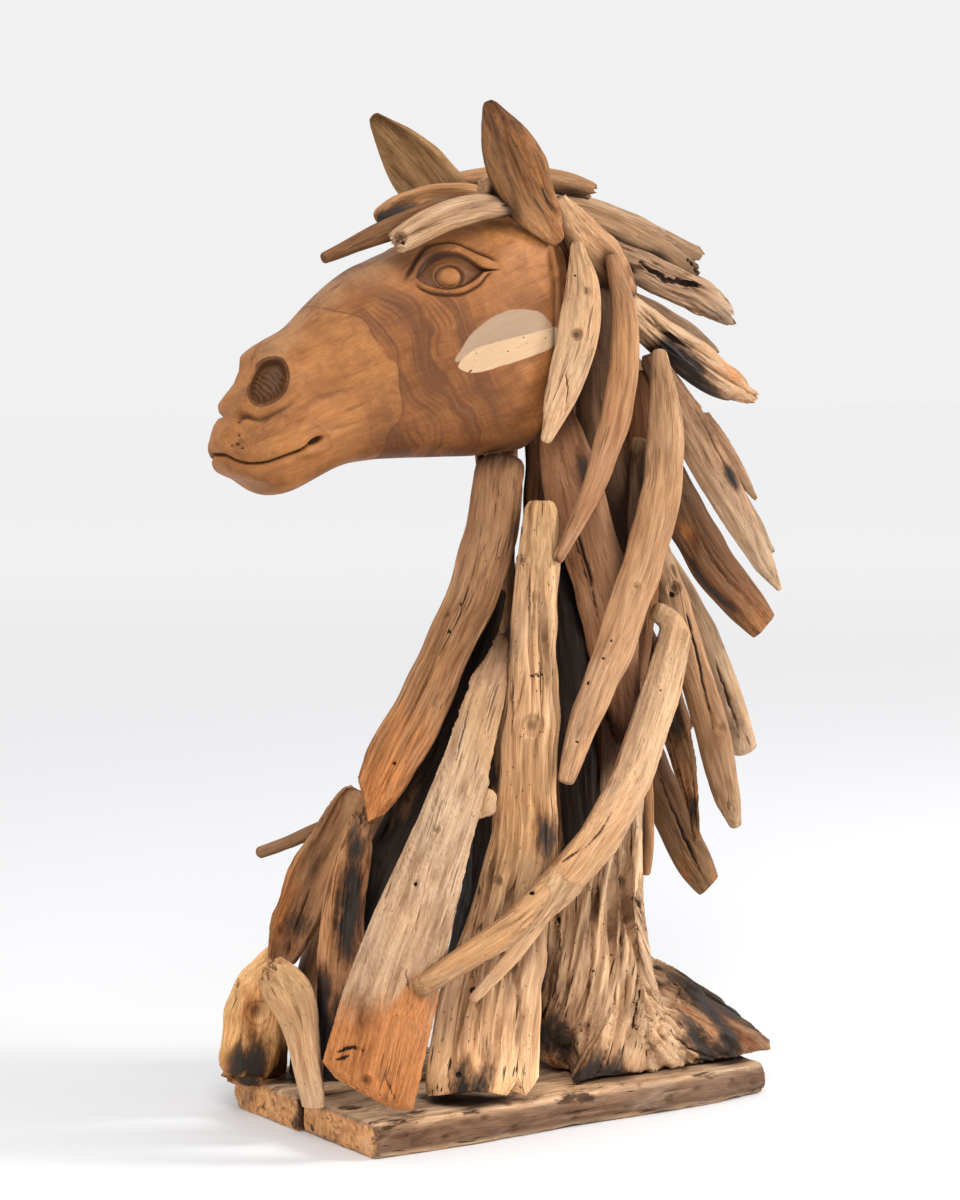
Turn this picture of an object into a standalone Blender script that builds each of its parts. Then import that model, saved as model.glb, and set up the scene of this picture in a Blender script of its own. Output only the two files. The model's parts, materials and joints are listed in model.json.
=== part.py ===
"""Horse head sculpture assembled from driftwood, on a base of two waney boards.

Metres, +Z up. The horse faces -X, its left side is -Y, and the origin is on the floor under the base.
Every stick is one solid. Where two sticks press on each other, the later one is notched to fit.
"""

import math
import random

import bmesh
import bpy
from mathutils import Vector
from mathutils.bvhtree import BVHTree

# Driving dimensions
BASE_LENGTH = 0.460
BASE_WIDTH = 0.282
BASE_THICKNESS = 0.034
BASE_CENTRE_X = 0.015
BASE_CENTRE_Y = -0.010
BOARD_JOINT_Y = -0.006
FIT_GAP = 0.0004
STICK_SIDES = 7
THIN_STICK_SIDES = 6
THIN_STICK_WIDTH = 0.030
TRUNK_SIDES = 12
HEAD_SIDES = 20

# How worn the sticks are
UNEVENNESS = 0.07
THIN_END_WIDTH = 0.004
END_SCALE = 0.66
END_ROUNDING = 0.25
SQUARENESS = 0.75
THINNING = 0.6

# Directions that the wide side of a stick can face
LEFT = (-0.565, -0.825, 0.0)
RIGHT = (-0.45, 0.89, 0.0)
FRONT_LEFT = (-0.75, -0.65, 0.1)
FRONT_RIGHT = (-0.8, 0.5, 0.1)
BACK = (1.0, 0.1, 0.2)
BACK_RIGHT = (0.6, 0.8, 0.1)
UP = (-0.3, -0.45, 0.84)

pieces = []


def clear_scene():
    for obj in list(bpy.data.objects):
        bpy.data.objects.remove(obj)


def wood(name, colour, roughness=0.75):
    material = bpy.data.materials.new(name)
    material.use_nodes = True
    shader = material.node_tree.nodes["Principled BSDF"]
    shader.inputs["Base Color"].default_value = (*colour, 1.0)
    shader.inputs["Roughness"].default_value = roughness
    shader.inputs["Metallic"].default_value = 0.0
    return material


def woods():
    return {
        "carved": wood("carved_teak", (0.42, 0.19, 0.085), 0.55),
        "pale": wood("pale_driftwood", (0.56, 0.36, 0.19)),
        "tan": wood("tan_driftwood", (0.44, 0.25, 0.13)),
        "brown": wood("brown_driftwood", (0.26, 0.14, 0.08)),
        "charred": wood("charred_driftwood", (0.045, 0.035, 0.03), 0.85),
        "board": wood("base_board", (0.38, 0.24, 0.14)),
    }


def smooth_points(points, count):
    """count points, evenly spaced in parameter, on a Catmull-Rom curve through the given ones."""
    ends = [2 * points[0] - points[1], *points, 2 * points[-1] - points[-2]]
    found = []
    for step in range(count):
        along = step * (len(points) - 1) / (count - 1)
        i = min(int(along), len(points) - 2)
        t = along - i
        a, b, c, d = ends[i : i + 4]
        cubic = 3 * b - a - 3 * c + d
        square = 2 * a - 5 * b + 4 * c - d
        found.append(0.5 * (2 * b + (c - a) * t + square * t**2 + cubic * t**3))
    return found


def mesh_of_rings(name, rings):
    """One closed mesh from rings with the same number of points, capped at both ends."""
    bm = bmesh.new()
    loops = [[bm.verts.new(point) for point in ring] for ring in rings]
    sides = len(rings[0])
    for low, high in zip(loops, loops[1:]):
        for k in range(sides):
            bm.faces.new((low[k], low[(k + 1) % sides], high[(k + 1) % sides], high[k]))
    bm.faces.new(loops[0][::-1])
    bm.faces.new(loops[-1])
    bmesh.ops.triangulate(bm, faces=bm.faces)
    bmesh.ops.recalc_face_normals(bm, faces=bm.faces)
    mesh = bpy.data.meshes.new(name)
    bm.to_mesh(mesh)
    bm.free()
    return mesh


def hull(name, points):
    """The smallest solid with flat faces round the points."""
    bm = bmesh.new()
    for point in points:
        bm.verts.new(point)
    bmesh.ops.convex_hull(bm, input=bm.verts)
    bmesh.ops.triangulate(bm, faces=bm.faces)
    bmesh.ops.recalc_face_normals(bm, faces=bm.faces)
    mesh = bpy.data.meshes.new(name)
    bm.to_mesh(mesh)
    bm.free()
    return mesh


def stick_rings(path, widths, depth, face, seed, hollow, slant, grow, sides):
    """Sections of a worn stick: wide across the face, depth times as thick, with rounded ends."""
    chance = random.Random(seed)
    count = len(path) + 1
    centres = smooth_points([Vector(p) for p in path], count)
    smoothed = smooth_points([Vector((width, 0, 0)) for width in widths], count)
    broad = [max(v.x, THIN_END_WIDTH) for v in smoothed]
    wobble = [1 + chance.uniform(-UNEVENNESS, UNEVENNESS) for _ in range(sides)]
    out = Vector(face).normalized()
    thickest = max(widths) * depth
    rings = []

    def ring(centre, along, width, scale):
        across = along.cross(out).normalized()
        front = across.cross(along).normalized()
        thick = thickest * (width / max(widths)) ** THINNING
        points = []
        for k in range(sides):
            angle = 2 * math.pi * (k + 0.5) / sides
            c, s = math.cos(angle), math.sin(angle)
            x = (width / 2 * scale * wobble[k] + grow) * math.copysign(abs(c) ** SQUARENESS, c)
            y = (thick / 2 * scale * wobble[k] + grow) * math.copysign(abs(s) ** SQUARENESS, s)
            if s > 0:
                y -= hollow * thick * (1 - abs(c)) * scale
            points.append(centre + across * x + front * y + along * (x * slant))
        return points

    tangents = []
    for i in range(count):
        tangents.append((centres[min(i + 1, count - 1)] - centres[max(i - 1, 0)]).normalized())
    tip = centres[0] - tangents[0] * grow
    heel = centres[-1] + tangents[-1] * grow
    centres[0] = centres[0] + tangents[0] * min(broad[0], thickest) * END_ROUNDING
    centres[-1] = centres[-1] - tangents[-1] * min(broad[-1], thickest) * END_ROUNDING
    rings.append(ring(tip, tangents[0], broad[0], END_SCALE))
    for centre, tangent, width in zip(centres, tangents, broad):
        rings.append(ring(centre, tangent, width, chance.uniform(0.97, 1.03)))
    rings.append(ring(heel, tangents[-1], broad[-1], END_SCALE))
    return rings


def place(name, material, shape, grown):
    """Adds a piece, and keeps the slightly larger copy of it that later pieces are notched with."""
    obj = bpy.data.objects.new(name, shape)
    bpy.context.scene.collection.objects.link(obj)
    obj.data.materials.append(material)
    cutter = bpy.data.objects.new(name + "_fit", grown)
    bpy.context.scene.collection.objects.link(cutter)
    cutter.hide_render = True
    cutter.display_type = "WIRE"
    pieces.append((obj, cutter))
    return obj


def stick(name, material, path, widths, depth=0.7, face=LEFT, hollow=0.0, slant=0.0, forks=()):
    """A stick along path, as wide as widths say; forks are (path, widths) of its side branches."""
    sides = THIN_STICK_SIDES if max(widths) < THIN_STICK_WIDTH else STICK_SIDES
    grown_and_true = []
    for grow in (0.0, FIT_GAP):
        rings = stick_rings(path, widths, depth, face, name, hollow, slant, grow, sides)
        mesh = mesh_of_rings(name, rings)
        for number, (fork_path, fork_widths) in enumerate(forks):
            seed = f"{name}{number}"
            fork = stick_rings(fork_path, fork_widths, depth, face, seed, 0.0, 0.0, grow, sides)
            mesh = united(mesh, mesh_of_rings(name + "_fork", fork))
        grown_and_true.append(mesh)
    return place(name, material, *grown_and_true)


def evaluated_mesh(obj):
    graph = bpy.context.evaluated_depsgraph_get()
    graph.update()
    return bpy.data.meshes.new_from_object(obj.evaluated_get(graph))


def combined(mesh, others, operation):
    """mesh after a Boolean with each of the other meshes."""
    body = bpy.data.objects.new("body", mesh)
    helpers = [body]
    bpy.context.scene.collection.objects.link(body)
    for other in others:
        helper = bpy.data.objects.new("helper", other)
        bpy.context.scene.collection.objects.link(helper)
        helpers.append(helper)
        modifier = body.modifiers.new("Cut", "BOOLEAN")
        modifier.operation = operation
        modifier.object = helper
    result = evaluated_mesh(body)
    for helper in helpers:
        bpy.data.objects.remove(helper)
    return result


def united(mesh, other):
    return combined(mesh, [other], "UNION")


def largest_body(mesh):
    """Drops the small offcuts that a notch can leave."""
    bm = bmesh.new()
    bm.from_mesh(mesh)
    left = set(bm.verts)
    bodies = []
    while left:
        body = [left.pop()]
        for vert in body:
            for edge in vert.link_edges:
                other = edge.other_vert(vert)
                if other in left:
                    left.remove(other)
                    body.append(other)
        bodies.append(body)
    bodies.sort(key=len)
    for body in bodies[:-1]:
        bmesh.ops.delete(bm, geom=body, context="VERTS")
    bmesh.ops.triangulate(bm, faces=bm.faces)
    bm.to_mesh(mesh)
    bm.free()


def tree_of(obj):
    bm = bmesh.new()
    bm.from_mesh(obj.data)
    tree = BVHTree.FromBMesh(bm)
    bm.free()
    return tree


def notch_pieces():
    """Cuts each piece back from the pieces placed before it that it presses on."""
    trees = [tree_of(cutter) for _, cutter in pieces]
    for i, (obj, _) in enumerate(pieces):
        own = tree_of(obj)
        cutters = [pieces[j][1].data for j in range(i) if own.overlap(trees[j])]
        if not cutters:
            continue
        material = obj.data.materials[0]
        obj.data = combined(obj.data, cutters, "DIFFERENCE")
        largest_body(obj.data)
        obj.data.materials.clear()
        obj.data.materials.append(material)
        print(obj.name, "notched by", len(cutters), "faces", len(obj.data.polygons))


def remove_cutters():
    for _, cutter in pieces:
        bpy.data.objects.remove(cutter)


# ---------------------------------------------------------------- carved head

# Along the head: x, height of the top line, height of the jaw line, half width, half width of the
# nose bridge, and how far below the top the sides turn upright, as a share of the height
HEAD_STATIONS = (
    (-0.300, 0.684, 0.660, 0.014, 0.007, 0.30),
    (-0.294, 0.697, 0.646, 0.028, 0.011, 0.30),
    (-0.283, 0.714, 0.636, 0.038, 0.014, 0.28),
    (-0.268, 0.738, 0.627, 0.045, 0.016, 0.27),
    (-0.252, 0.752, 0.620, 0.049, 0.017, 0.27),
    (-0.230, 0.767, 0.623, 0.050, 0.017, 0.28),
    (-0.205, 0.783, 0.636, 0.050, 0.017, 0.28),
    (-0.172, 0.804, 0.650, 0.054, 0.018, 0.26),
    (-0.130, 0.832, 0.655, 0.063, 0.022, 0.21),
    (-0.075, 0.871, 0.655, 0.073, 0.032, 0.16),
    (-0.020, 0.894, 0.655, 0.078, 0.042, 0.15),
    (0.033, 0.898, 0.660, 0.077, 0.044, 0.15),
    (0.060, 0.884, 0.680, 0.058, 0.036, 0.18),
    (0.078, 0.862, 0.715, 0.042, 0.028, 0.22),
)
# Places on the side of the head: x and z, the distance from the middle is found on the surface
NOSTRIL = (-0.264, 0.732)
NOSTRIL_RADII = (0.021, 0.016, 0.022)
EYE = (-0.073, 0.836)
EYE_RADII = (0.038, 0.008, 0.019)
EYE_TILT = math.radians(9)
EYEBALL_RADIUS = 0.015
LIPS = ((-0.300, 0.661), (-0.288, 0.654), (-0.258, 0.655), (-0.216, 0.677))
LIPS_WIDTHS = (0.010, 0.009, 0.009, 0.006)
LIPS_FACE = (-0.3, 0.0, 1.0)


def head_ring(station, sides, grow):
    """One upright section of the head: a closed cubic B-spline on seven handles a side."""
    x, top, bottom, half, bridge, shoulder = station
    height = top - bottom
    handles = [
        (0.0, top),
        (bridge, top - 0.01 * height),
        (half * 0.97, top - shoulder * height),
        (half * 1.04, top - 0.55 * height),
        (half * 1.00, bottom + 0.22 * height),
        (half * 0.66, bottom + 0.01 * height),
        (0.0, bottom),
    ]
    closed = handles + [(-y, z) for y, z in handles[-2:0:-1]]
    count = len(closed)
    points = []
    for k in range(sides):
        around = k * count / sides
        i = int(around)
        t = around - i
        weights = ((1 - t) ** 3, 3 * t**3 - 6 * t**2 + 4, -3 * t**3 + 3 * t**2 + 3 * t + 1, t**3)
        near = [closed[(i + n - 1) % count] for n in range(4)]
        y = sum(w * p[0] for w, p in zip(weights, near)) / 6
        z = sum(w * p[1] for w, p in zip(weights, near)) / 6
        points.append(Vector((x, y, z)))
    low = min(p.z for p in points)
    high = max(p.z for p in points)
    wide = max(p.y for p in points)
    for p in points:
        p.z = bottom - grow + (p.z - low) / (high - low) * (height + 2 * grow)
        p.y *= (half + grow) / wide
    return points


def ellipsoid(centre, radii, tilt=0.0):
    bm = bmesh.new()
    bmesh.ops.create_uvsphere(bm, u_segments=10, v_segments=6, radius=1.0)
    for vert in bm.verts:
        x, y, z = (vert.co[n] * radii[n] for n in range(3))
        turned = (x * math.cos(tilt) - z * math.sin(tilt), y, x * math.sin(tilt) + z * math.cos(tilt))
        vert.co = Vector(centre) + Vector(turned)
    mesh = bpy.data.meshes.new("ellipsoid")
    bm.to_mesh(mesh)
    bm.free()
    return mesh


def station_at(x):
    """The head's section at x, between the two nearest stations."""
    after = next(i for i, station in enumerate(HEAD_STATIONS) if station[0] >= x)
    after = max(after, 1)
    low, high = HEAD_STATIONS[after - 1], HEAD_STATIONS[after]
    t = (x - low[0]) / (high[0] - low[0])
    return [a + (b - a) * t for a, b in zip(low, high)]


def cheek_y(x, z):
    """How far the side of the head stands from the middle at one place."""
    ring = head_ring(station_at(x), 96, 0.0)
    return max(p.y for p in ring if abs(p.z - z) < 0.006)


def carved_head(material):
    rings = [head_ring(station, HEAD_SIDES, 0.0) for station in HEAD_STATIONS]
    body = mesh_of_rings("head", rings)
    cuts = []
    balls = []
    for side in (-1, 1):
        x, z = NOSTRIL
        cuts.append(ellipsoid((x, side * (cheek_y(x, z) + 0.002), z), NOSTRIL_RADII))
        x, z = EYE
        out = cheek_y(x, z)
        cuts.append(ellipsoid((x, side * out, z), EYE_RADII, EYE_TILT))
        balls.append(ellipsoid((x - 0.003, side * (out - EYEBALL_RADIUS), z), (EYEBALL_RADIUS,) * 3))
        lips = [(x, side * (cheek_y(x, z) - 0.001), z) for x, z in LIPS]
        rings = stick_rings(lips, LIPS_WIDTHS, 0.7, LIPS_FACE, "lips", 0.0, 0.0, 0.0, THIN_STICK_SIDES)
        cuts.append(mesh_of_rings("lips", rings))
    body = combined(body, cuts, "DIFFERENCE")
    for ball in balls:
        body = united(body, ball)
    ends = [list(HEAD_STATIONS[0]), list(HEAD_STATIONS[-1])]
    ends[0][0] -= FIT_GAP
    ends[1][0] += FIT_GAP
    stations = (ends[0], *HEAD_STATIONS[1:-1], ends[1])
    grown = mesh_of_rings("head", [head_ring(station, HEAD_SIDES, FIT_GAP) for station in stations])
    return place("head", material, body, grown)


# ---------------------------------------------------------------- base boards


def board(name, material, inner_y, outer_y, length, waney, seed):
    """One base board: straight where it meets the other, with a rounded, wavy bark edge outside."""
    chance = random.Random(seed)
    count = 9
    side = 1 if outer_y > inner_y else -1
    edge = [outer_y + side * waney * chance.uniform(-1, 1) for _ in range(count)]
    edge[0] -= side * 0.008
    edge[-1] -= side * 0.008
    meshes = []
    for grow in (0.0, FIT_GAP):
        rings = []
        for i in range(count):
            x = BASE_CENTRE_X + (2 * i / (count - 1) - 1) * (length / 2 + grow)
            inner = inner_y - side * grow
            outer = edge[i] + side * grow
            corners = (
                (inner, -grow),
                (outer - side * 0.008, -grow),
                (outer, 0.3 * BASE_THICKNESS),
                (outer - side * 0.002, 0.7 * BASE_THICKNESS),
                (outer - side * 0.010, BASE_THICKNESS + grow),
                (inner, BASE_THICKNESS + grow),
            )
            rings.append([Vector((x, y, z)) for y, z in corners])
        meshes.append(mesh_of_rings(name, rings))
    return place(name, material, *meshes)


# ---------------------------------------------------------------- sticks


def base(m):
    left_y = BASE_CENTRE_Y - BASE_WIDTH / 2
    right_y = BASE_CENTRE_Y + BASE_WIDTH / 2
    left_joint = BOARD_JOINT_Y - FIT_GAP
    right_joint = BOARD_JOINT_Y + FIT_GAP
    board("base_board_left", m["board"], left_joint, left_y, BASE_LENGTH, 0.003, 4)
    board("base_board_right", m["board"], right_joint, right_y, BASE_LENGTH - 0.012, 0.006, 9)


def ears(m):
    left = [
        (-0.060, -0.095, 0.992),
        (-0.036, -0.088, 0.958),
        (-0.004, -0.079, 0.914),
        (0.038, -0.072, 0.864),
    ]
    stick("ear_left", m["tan"], left, (0.010, 0.052, 0.062, 0.018), 0.42, LEFT, 0.12)
    right = [
        (-0.074, 0.098, 0.988),
        (-0.050, 0.090, 0.958),
        (-0.018, 0.080, 0.922),
        (0.014, 0.066, 0.872),
    ]
    stick("ear_right", m["pale"], right, (0.010, 0.050, 0.066, 0.060), 0.36, (-0.8, -0.6, 0.0), 0.25)


def forelock(m):
    wedge = [(-0.034, -0.050, 0.918), (0.000, -0.046, 0.916), (0.034, -0.040, 0.908)]
    stick("poll_wedge", m["tan"], wedge, (0.024, 0.040, 0.034), 0.75)
    pale = [
        (-0.006, -0.070, 0.902),
        (-0.058, -0.066, 0.897),
        (-0.102, -0.060, 0.880),
        (-0.138, -0.054, 0.861),
    ]
    stick("forelock_pale", m["pale"], pale, (0.024, 0.030, 0.031, 0.028), 0.8)
    long = [
        (0.004, -0.022, 0.901),
        (-0.045, -0.024, 0.900),
        (-0.096, -0.022, 0.887),
        (-0.198, -0.020, 0.847),
    ]
    stick("forelock_long", m["brown"], long, (0.018, 0.021, 0.021, 0.009), 0.8)
    hollow = [
        (0.036, 0.014, 0.908),
        (-0.014, 0.022, 0.915),
        (-0.070, 0.028, 0.905),
        (-0.104, 0.030, 0.889),
    ]
    stick("forelock_hollow", m["brown"], hollow, (0.026, 0.030, 0.029, 0.020), 0.8)
    across = [
        (0.004, 0.066, 0.928),
        (0.056, 0.040, 0.935),
        (0.105, 0.016, 0.932),
        (0.142, -0.002, 0.921),
    ]
    stick("poll_stick", m["tan"], across, (0.020, 0.024, 0.026, 0.018), 0.9, UP)


def cheek_locks(m):
    left = [
        (0.058, -0.083, 0.870),
        (0.061, -0.088, 0.820),
        (0.052, -0.089, 0.762),
        (0.034, -0.088, 0.712),
        (0.018, -0.085, 0.668),
    ]
    stick("cheek_lock_left", m["pale"], left, (0.012, 0.042, 0.050, 0.034, 0.010), 0.4)
    right = [
        (0.042, 0.080, 0.872),
        (0.050, 0.083, 0.810),
        (0.052, 0.085, 0.740),
        (0.056, 0.083, 0.680),
        (0.056, 0.080, 0.636),
    ]
    stick("cheek_lock_right", m["tan"], right, (0.012, 0.036, 0.044, 0.034, 0.018), 0.45, RIGHT)


def left_locks(m):
    upper = [
        (0.099, -0.082, 0.860),
        (0.111, -0.094, 0.791),
        (0.100, -0.103, 0.722),
        (0.070, -0.109, 0.646),
        (0.037, -0.112, 0.592),
        (0.010, -0.115, 0.552),
    ]
    stick("lock_left_upper", m["tan"], upper, (0.014, 0.032, 0.034, 0.030, 0.024, 0.018), 0.75)
    lower = [
        (0.163, -0.080, 0.767),
        (0.160, -0.097, 0.681),
        (0.135, -0.113, 0.592),
        (0.087, -0.126, 0.498),
        (0.040, -0.134, 0.420),
        (0.003, -0.138, 0.336),
    ]
    stick("lock_left_lower", m["tan"], lower, (0.016, 0.040, 0.044, 0.042, 0.040, 0.022), 0.75)
    branch = [
        (0.171, -0.103, 0.486),
        (0.134, -0.118, 0.412),
        (0.080, -0.132, 0.317),
        (0.020, -0.143, 0.262),
        (-0.050, -0.152, 0.218),
        (-0.115, -0.157, 0.190),
        (-0.181, -0.158, 0.162),
    ]
    hook = [(0.172, -0.104, 0.478), (0.160, -0.100, 0.492), (0.144, -0.096, 0.501)]
    prong = [
        (-0.002, -0.146, 0.246),
        (-0.048, -0.153, 0.200),
        (-0.082, -0.156, 0.170),
        (-0.117, -0.157, 0.144),
    ]
    stick(
        "branch_forked",
        m["pale"],
        branch,
        (0.034, 0.042, 0.042, 0.044, 0.034, 0.028, 0.022),
        0.7,
        forks=((hook, (0.026, 0.026, 0.022)), (prong, (0.024, 0.020, 0.016, 0.009))),
    )


def throat(m):
    slat = [
        (0.008, -0.044, 0.664),
        (-0.014, -0.050, 0.566),
        (-0.060, -0.055, 0.480),
        (-0.118, -0.060, 0.395),
        (-0.149, -0.062, 0.347),
        (-0.170, -0.064, 0.306),
    ]
    widths = (0.052, 0.062, 0.066, 0.074, 0.070, 0.032)
    stick("throat_slat_left", m["tan"], slat, widths, 0.36, FRONT_LEFT)
    far = [
        (0.042, 0.034, 0.668),
        (0.032, 0.046, 0.560),
        (0.016, 0.052, 0.500),
        (-0.022, 0.054, 0.420),
        (-0.066, 0.052, 0.340),
    ]
    stick("throat_slat_right", m["tan"], far, (0.028, 0.034, 0.038, 0.044, 0.038), 0.7, FRONT_RIGHT)


def neck_left(m):
    post = [
        (0.012, -0.088, 0.610),
        (-0.002, -0.097, 0.517),
        (-0.012, -0.103, 0.401),
        (-0.020, -0.108, 0.275),
        (-0.060, -0.111, 0.160),
        (-0.082, -0.112, 0.030),
    ]
    stick("neck_post_left", m["pale"], post, (0.034, 0.050, 0.058, 0.068, 0.090, 0.098), 0.5)
    plank = [
        (-0.030, -0.080, 0.484),
        (-0.064, -0.092, 0.422),
        (-0.101, -0.106, 0.339),
        (-0.152, -0.118, 0.239),
        (-0.194, -0.126, 0.149),
        (-0.222, -0.128, 0.062),
    ]
    knob = [(-0.098, -0.104, 0.325), (-0.060, -0.110, 0.323)]
    stick(
        "shoulder_plank_left",
        m["pale"],
        plank,
        (0.022, 0.050, 0.056, 0.084, 0.096, 0.106),
        0.32,
        slant=-0.25,
        forks=((knob, (0.036, 0.026)),),
    )
    wide = [
        (0.046, -0.058, 0.705),
        (0.071, -0.072, 0.600),
        (0.096, -0.079, 0.511),
        (0.112, -0.084, 0.431),
        (0.122, -0.086, 0.366),
    ]
    stick("neck_slat_wide", m["brown"], wide, (0.040, 0.064, 0.062, 0.046, 0.024), 0.4)
    dark = [
        (0.056, -0.048, 0.580),
        (0.076, -0.054, 0.430),
        (0.078, -0.060, 0.309),
        (0.082, -0.064, 0.236),
    ]
    stick("neck_post_dark", m["charred"], dark, (0.034, 0.044, 0.044, 0.036), 0.65)
    inner = [
        (0.106, -0.046, 0.836),
        (0.106, -0.053, 0.741),
        (0.108, -0.057, 0.665),
        (0.128, -0.058, 0.590),
        (0.138, -0.056, 0.520),
    ]
    stick("crest_inner", m["brown"], inner, (0.042, 0.048, 0.050, 0.044, 0.030), 0.6)
    brown = [
        (0.178, -0.038, 0.745),
        (0.178, -0.044, 0.628),
        (0.167, -0.048, 0.526),
        (0.150, -0.054, 0.420),
    ]
    stick("crest_brown", m["brown"], brown, (0.032, 0.042, 0.042, 0.034), 0.6)
    pale = [(0.147, -0.070, 0.675), (0.134, -0.076, 0.605), (0.140, -0.077, 0.545)]
    stick("crest_pale", m["tan"], pale, (0.018, 0.026, 0.011), 0.7)


def chest(m):
    grooved = [
        (-0.162, -0.046, 0.320),
        (-0.184, -0.046, 0.244),
        (-0.196, -0.050, 0.160),
        (-0.203, -0.055, 0.055),
    ]
    stick("chest_slat_grooved", m["tan"], grooved, (0.026, 0.048, 0.048, 0.032), 0.55)
    hollow = [
        (-0.134, 0.004, 0.330),
        (-0.170, 0.010, 0.268),
        (-0.202, 0.012, 0.212),
        (-0.221, 0.014, 0.160),
    ]
    widths = (0.036, 0.058, 0.060, 0.034)
    stick("chest_slat_hollow", m["brown"], hollow, widths, 0.6, (-0.85, -0.5, 0.2), 0.3)
    burl = [
        (-0.200, 0.034, 0.180),
        (-0.206, 0.064, 0.146),
        (-0.207, 0.086, 0.100),
        (-0.202, 0.102, 0.028),
    ]
    stick("chest_burl", m["tan"], burl, (0.026, 0.052, 0.074, 0.068), 0.9)
    root = [
        (-0.252, -0.026, 0.174),
        (-0.236, -0.038, 0.146),
        (-0.226, -0.046, 0.105),
        (-0.219, -0.050, 0.030),
    ]
    stick("chest_root", m["pale"], root, (0.024, 0.046, 0.036, 0.026), 0.7, FRONT_LEFT)
    back = [
        (-0.078, 0.052, 0.346),
        (-0.112, 0.058, 0.260),
        (-0.143, 0.062, 0.180),
        (-0.160, 0.066, 0.100),
        (-0.165, 0.068, 0.028),
    ]
    widths = (0.036, 0.052, 0.062, 0.064, 0.060)
    stick("chest_slat_right", m["brown"], back, widths, 0.64, FRONT_RIGHT)
    charred = [
        (0.004, -0.030, 0.530),
        (-0.056, -0.034, 0.396),
        (-0.110, -0.042, 0.302),
        (-0.158, -0.046, 0.215),
        (-0.176, -0.058, 0.100),
    ]
    stick("charred_plank", m["charred"], charred, (0.028, 0.044, 0.058, 0.052, 0.034), 0.4)
    strip = [
        (-0.012, -0.066, 0.330),
        (-0.040, -0.073, 0.240),
        (-0.074, -0.076, 0.150),
        (-0.094, -0.078, 0.030),
    ]
    stick("charred_strip", m["charred"], strip, (0.016, 0.024, 0.029, 0.026), 0.9)
    thin = [(0.012, -0.070, 0.520), (-0.022, -0.072, 0.462), (-0.050, -0.080, 0.400)]
    stick("inner_thin", m["brown"], thin, (0.014, 0.018, 0.012), 1.0)
    stub = [(-0.080, 0.078, 0.302), (-0.150, 0.080, 0.278), (-0.214, 0.082, 0.262)]
    stick("chest_stub", m["brown"], stub, (0.022, 0.018, 0.013), 0.8, UP)


def trunk(m):
    """The stump: a gnarled stem that spreads into a root, sawn off in a long wedge."""
    path = [
        (0.113, -0.060, 0.468),
        (0.118, -0.062, 0.346),
        (0.108, -0.064, 0.245),
        (0.098, -0.068, 0.160),
        (0.092, -0.070, 0.100),
        (0.096, -0.070, 0.036),
    ]
    wedge = (
        (0.030, -0.114, 0.030),
        (0.060, -0.116, 0.062),
        (0.280, -0.127, 0.038),
        (0.281, -0.122, 0.050),
        (0.268, -0.095, 0.038),
        (0.200, -0.030, 0.136),
        (0.222, -0.042, 0.118),
        (0.150, -0.030, 0.150),
        (0.200, 0.010, 0.030),
        (0.080, -0.020, 0.030),
        (0.090, -0.110, 0.110),
    )
    shapes = []
    for grow in (0.0, FIT_GAP):
        widths = (0.056, 0.076, 0.084, 0.106, 0.140, 0.130)
        stem = stick_rings(path, widths, 0.5, LEFT, "trunk", 0.0, 0.0, grow, TRUNK_SIDES)
        middle = sum((Vector(p) for p in wedge), Vector()) / len(wedge)
        root = [Vector(p) + (Vector(p) - middle).normalized() * 2 * grow for p in wedge]
        shapes.append(united(mesh_of_rings("trunk", stem), hull("root", root)))
    place("root_trunk_left", m["tan"], *shapes)


def crest(m):
    spine = [
        (0.090, 0.006, 0.876),
        (0.154, 0.008, 0.760),
        (0.186, 0.010, 0.640),
        (0.190, 0.010, 0.520),
        (0.178, 0.010, 0.400),
        (0.162, 0.012, 0.270),
    ]
    stick("crest_spine", m["brown"], spine, (0.060, 0.076, 0.080, 0.080, 0.074, 0.056), 0.42, BACK)


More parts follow.
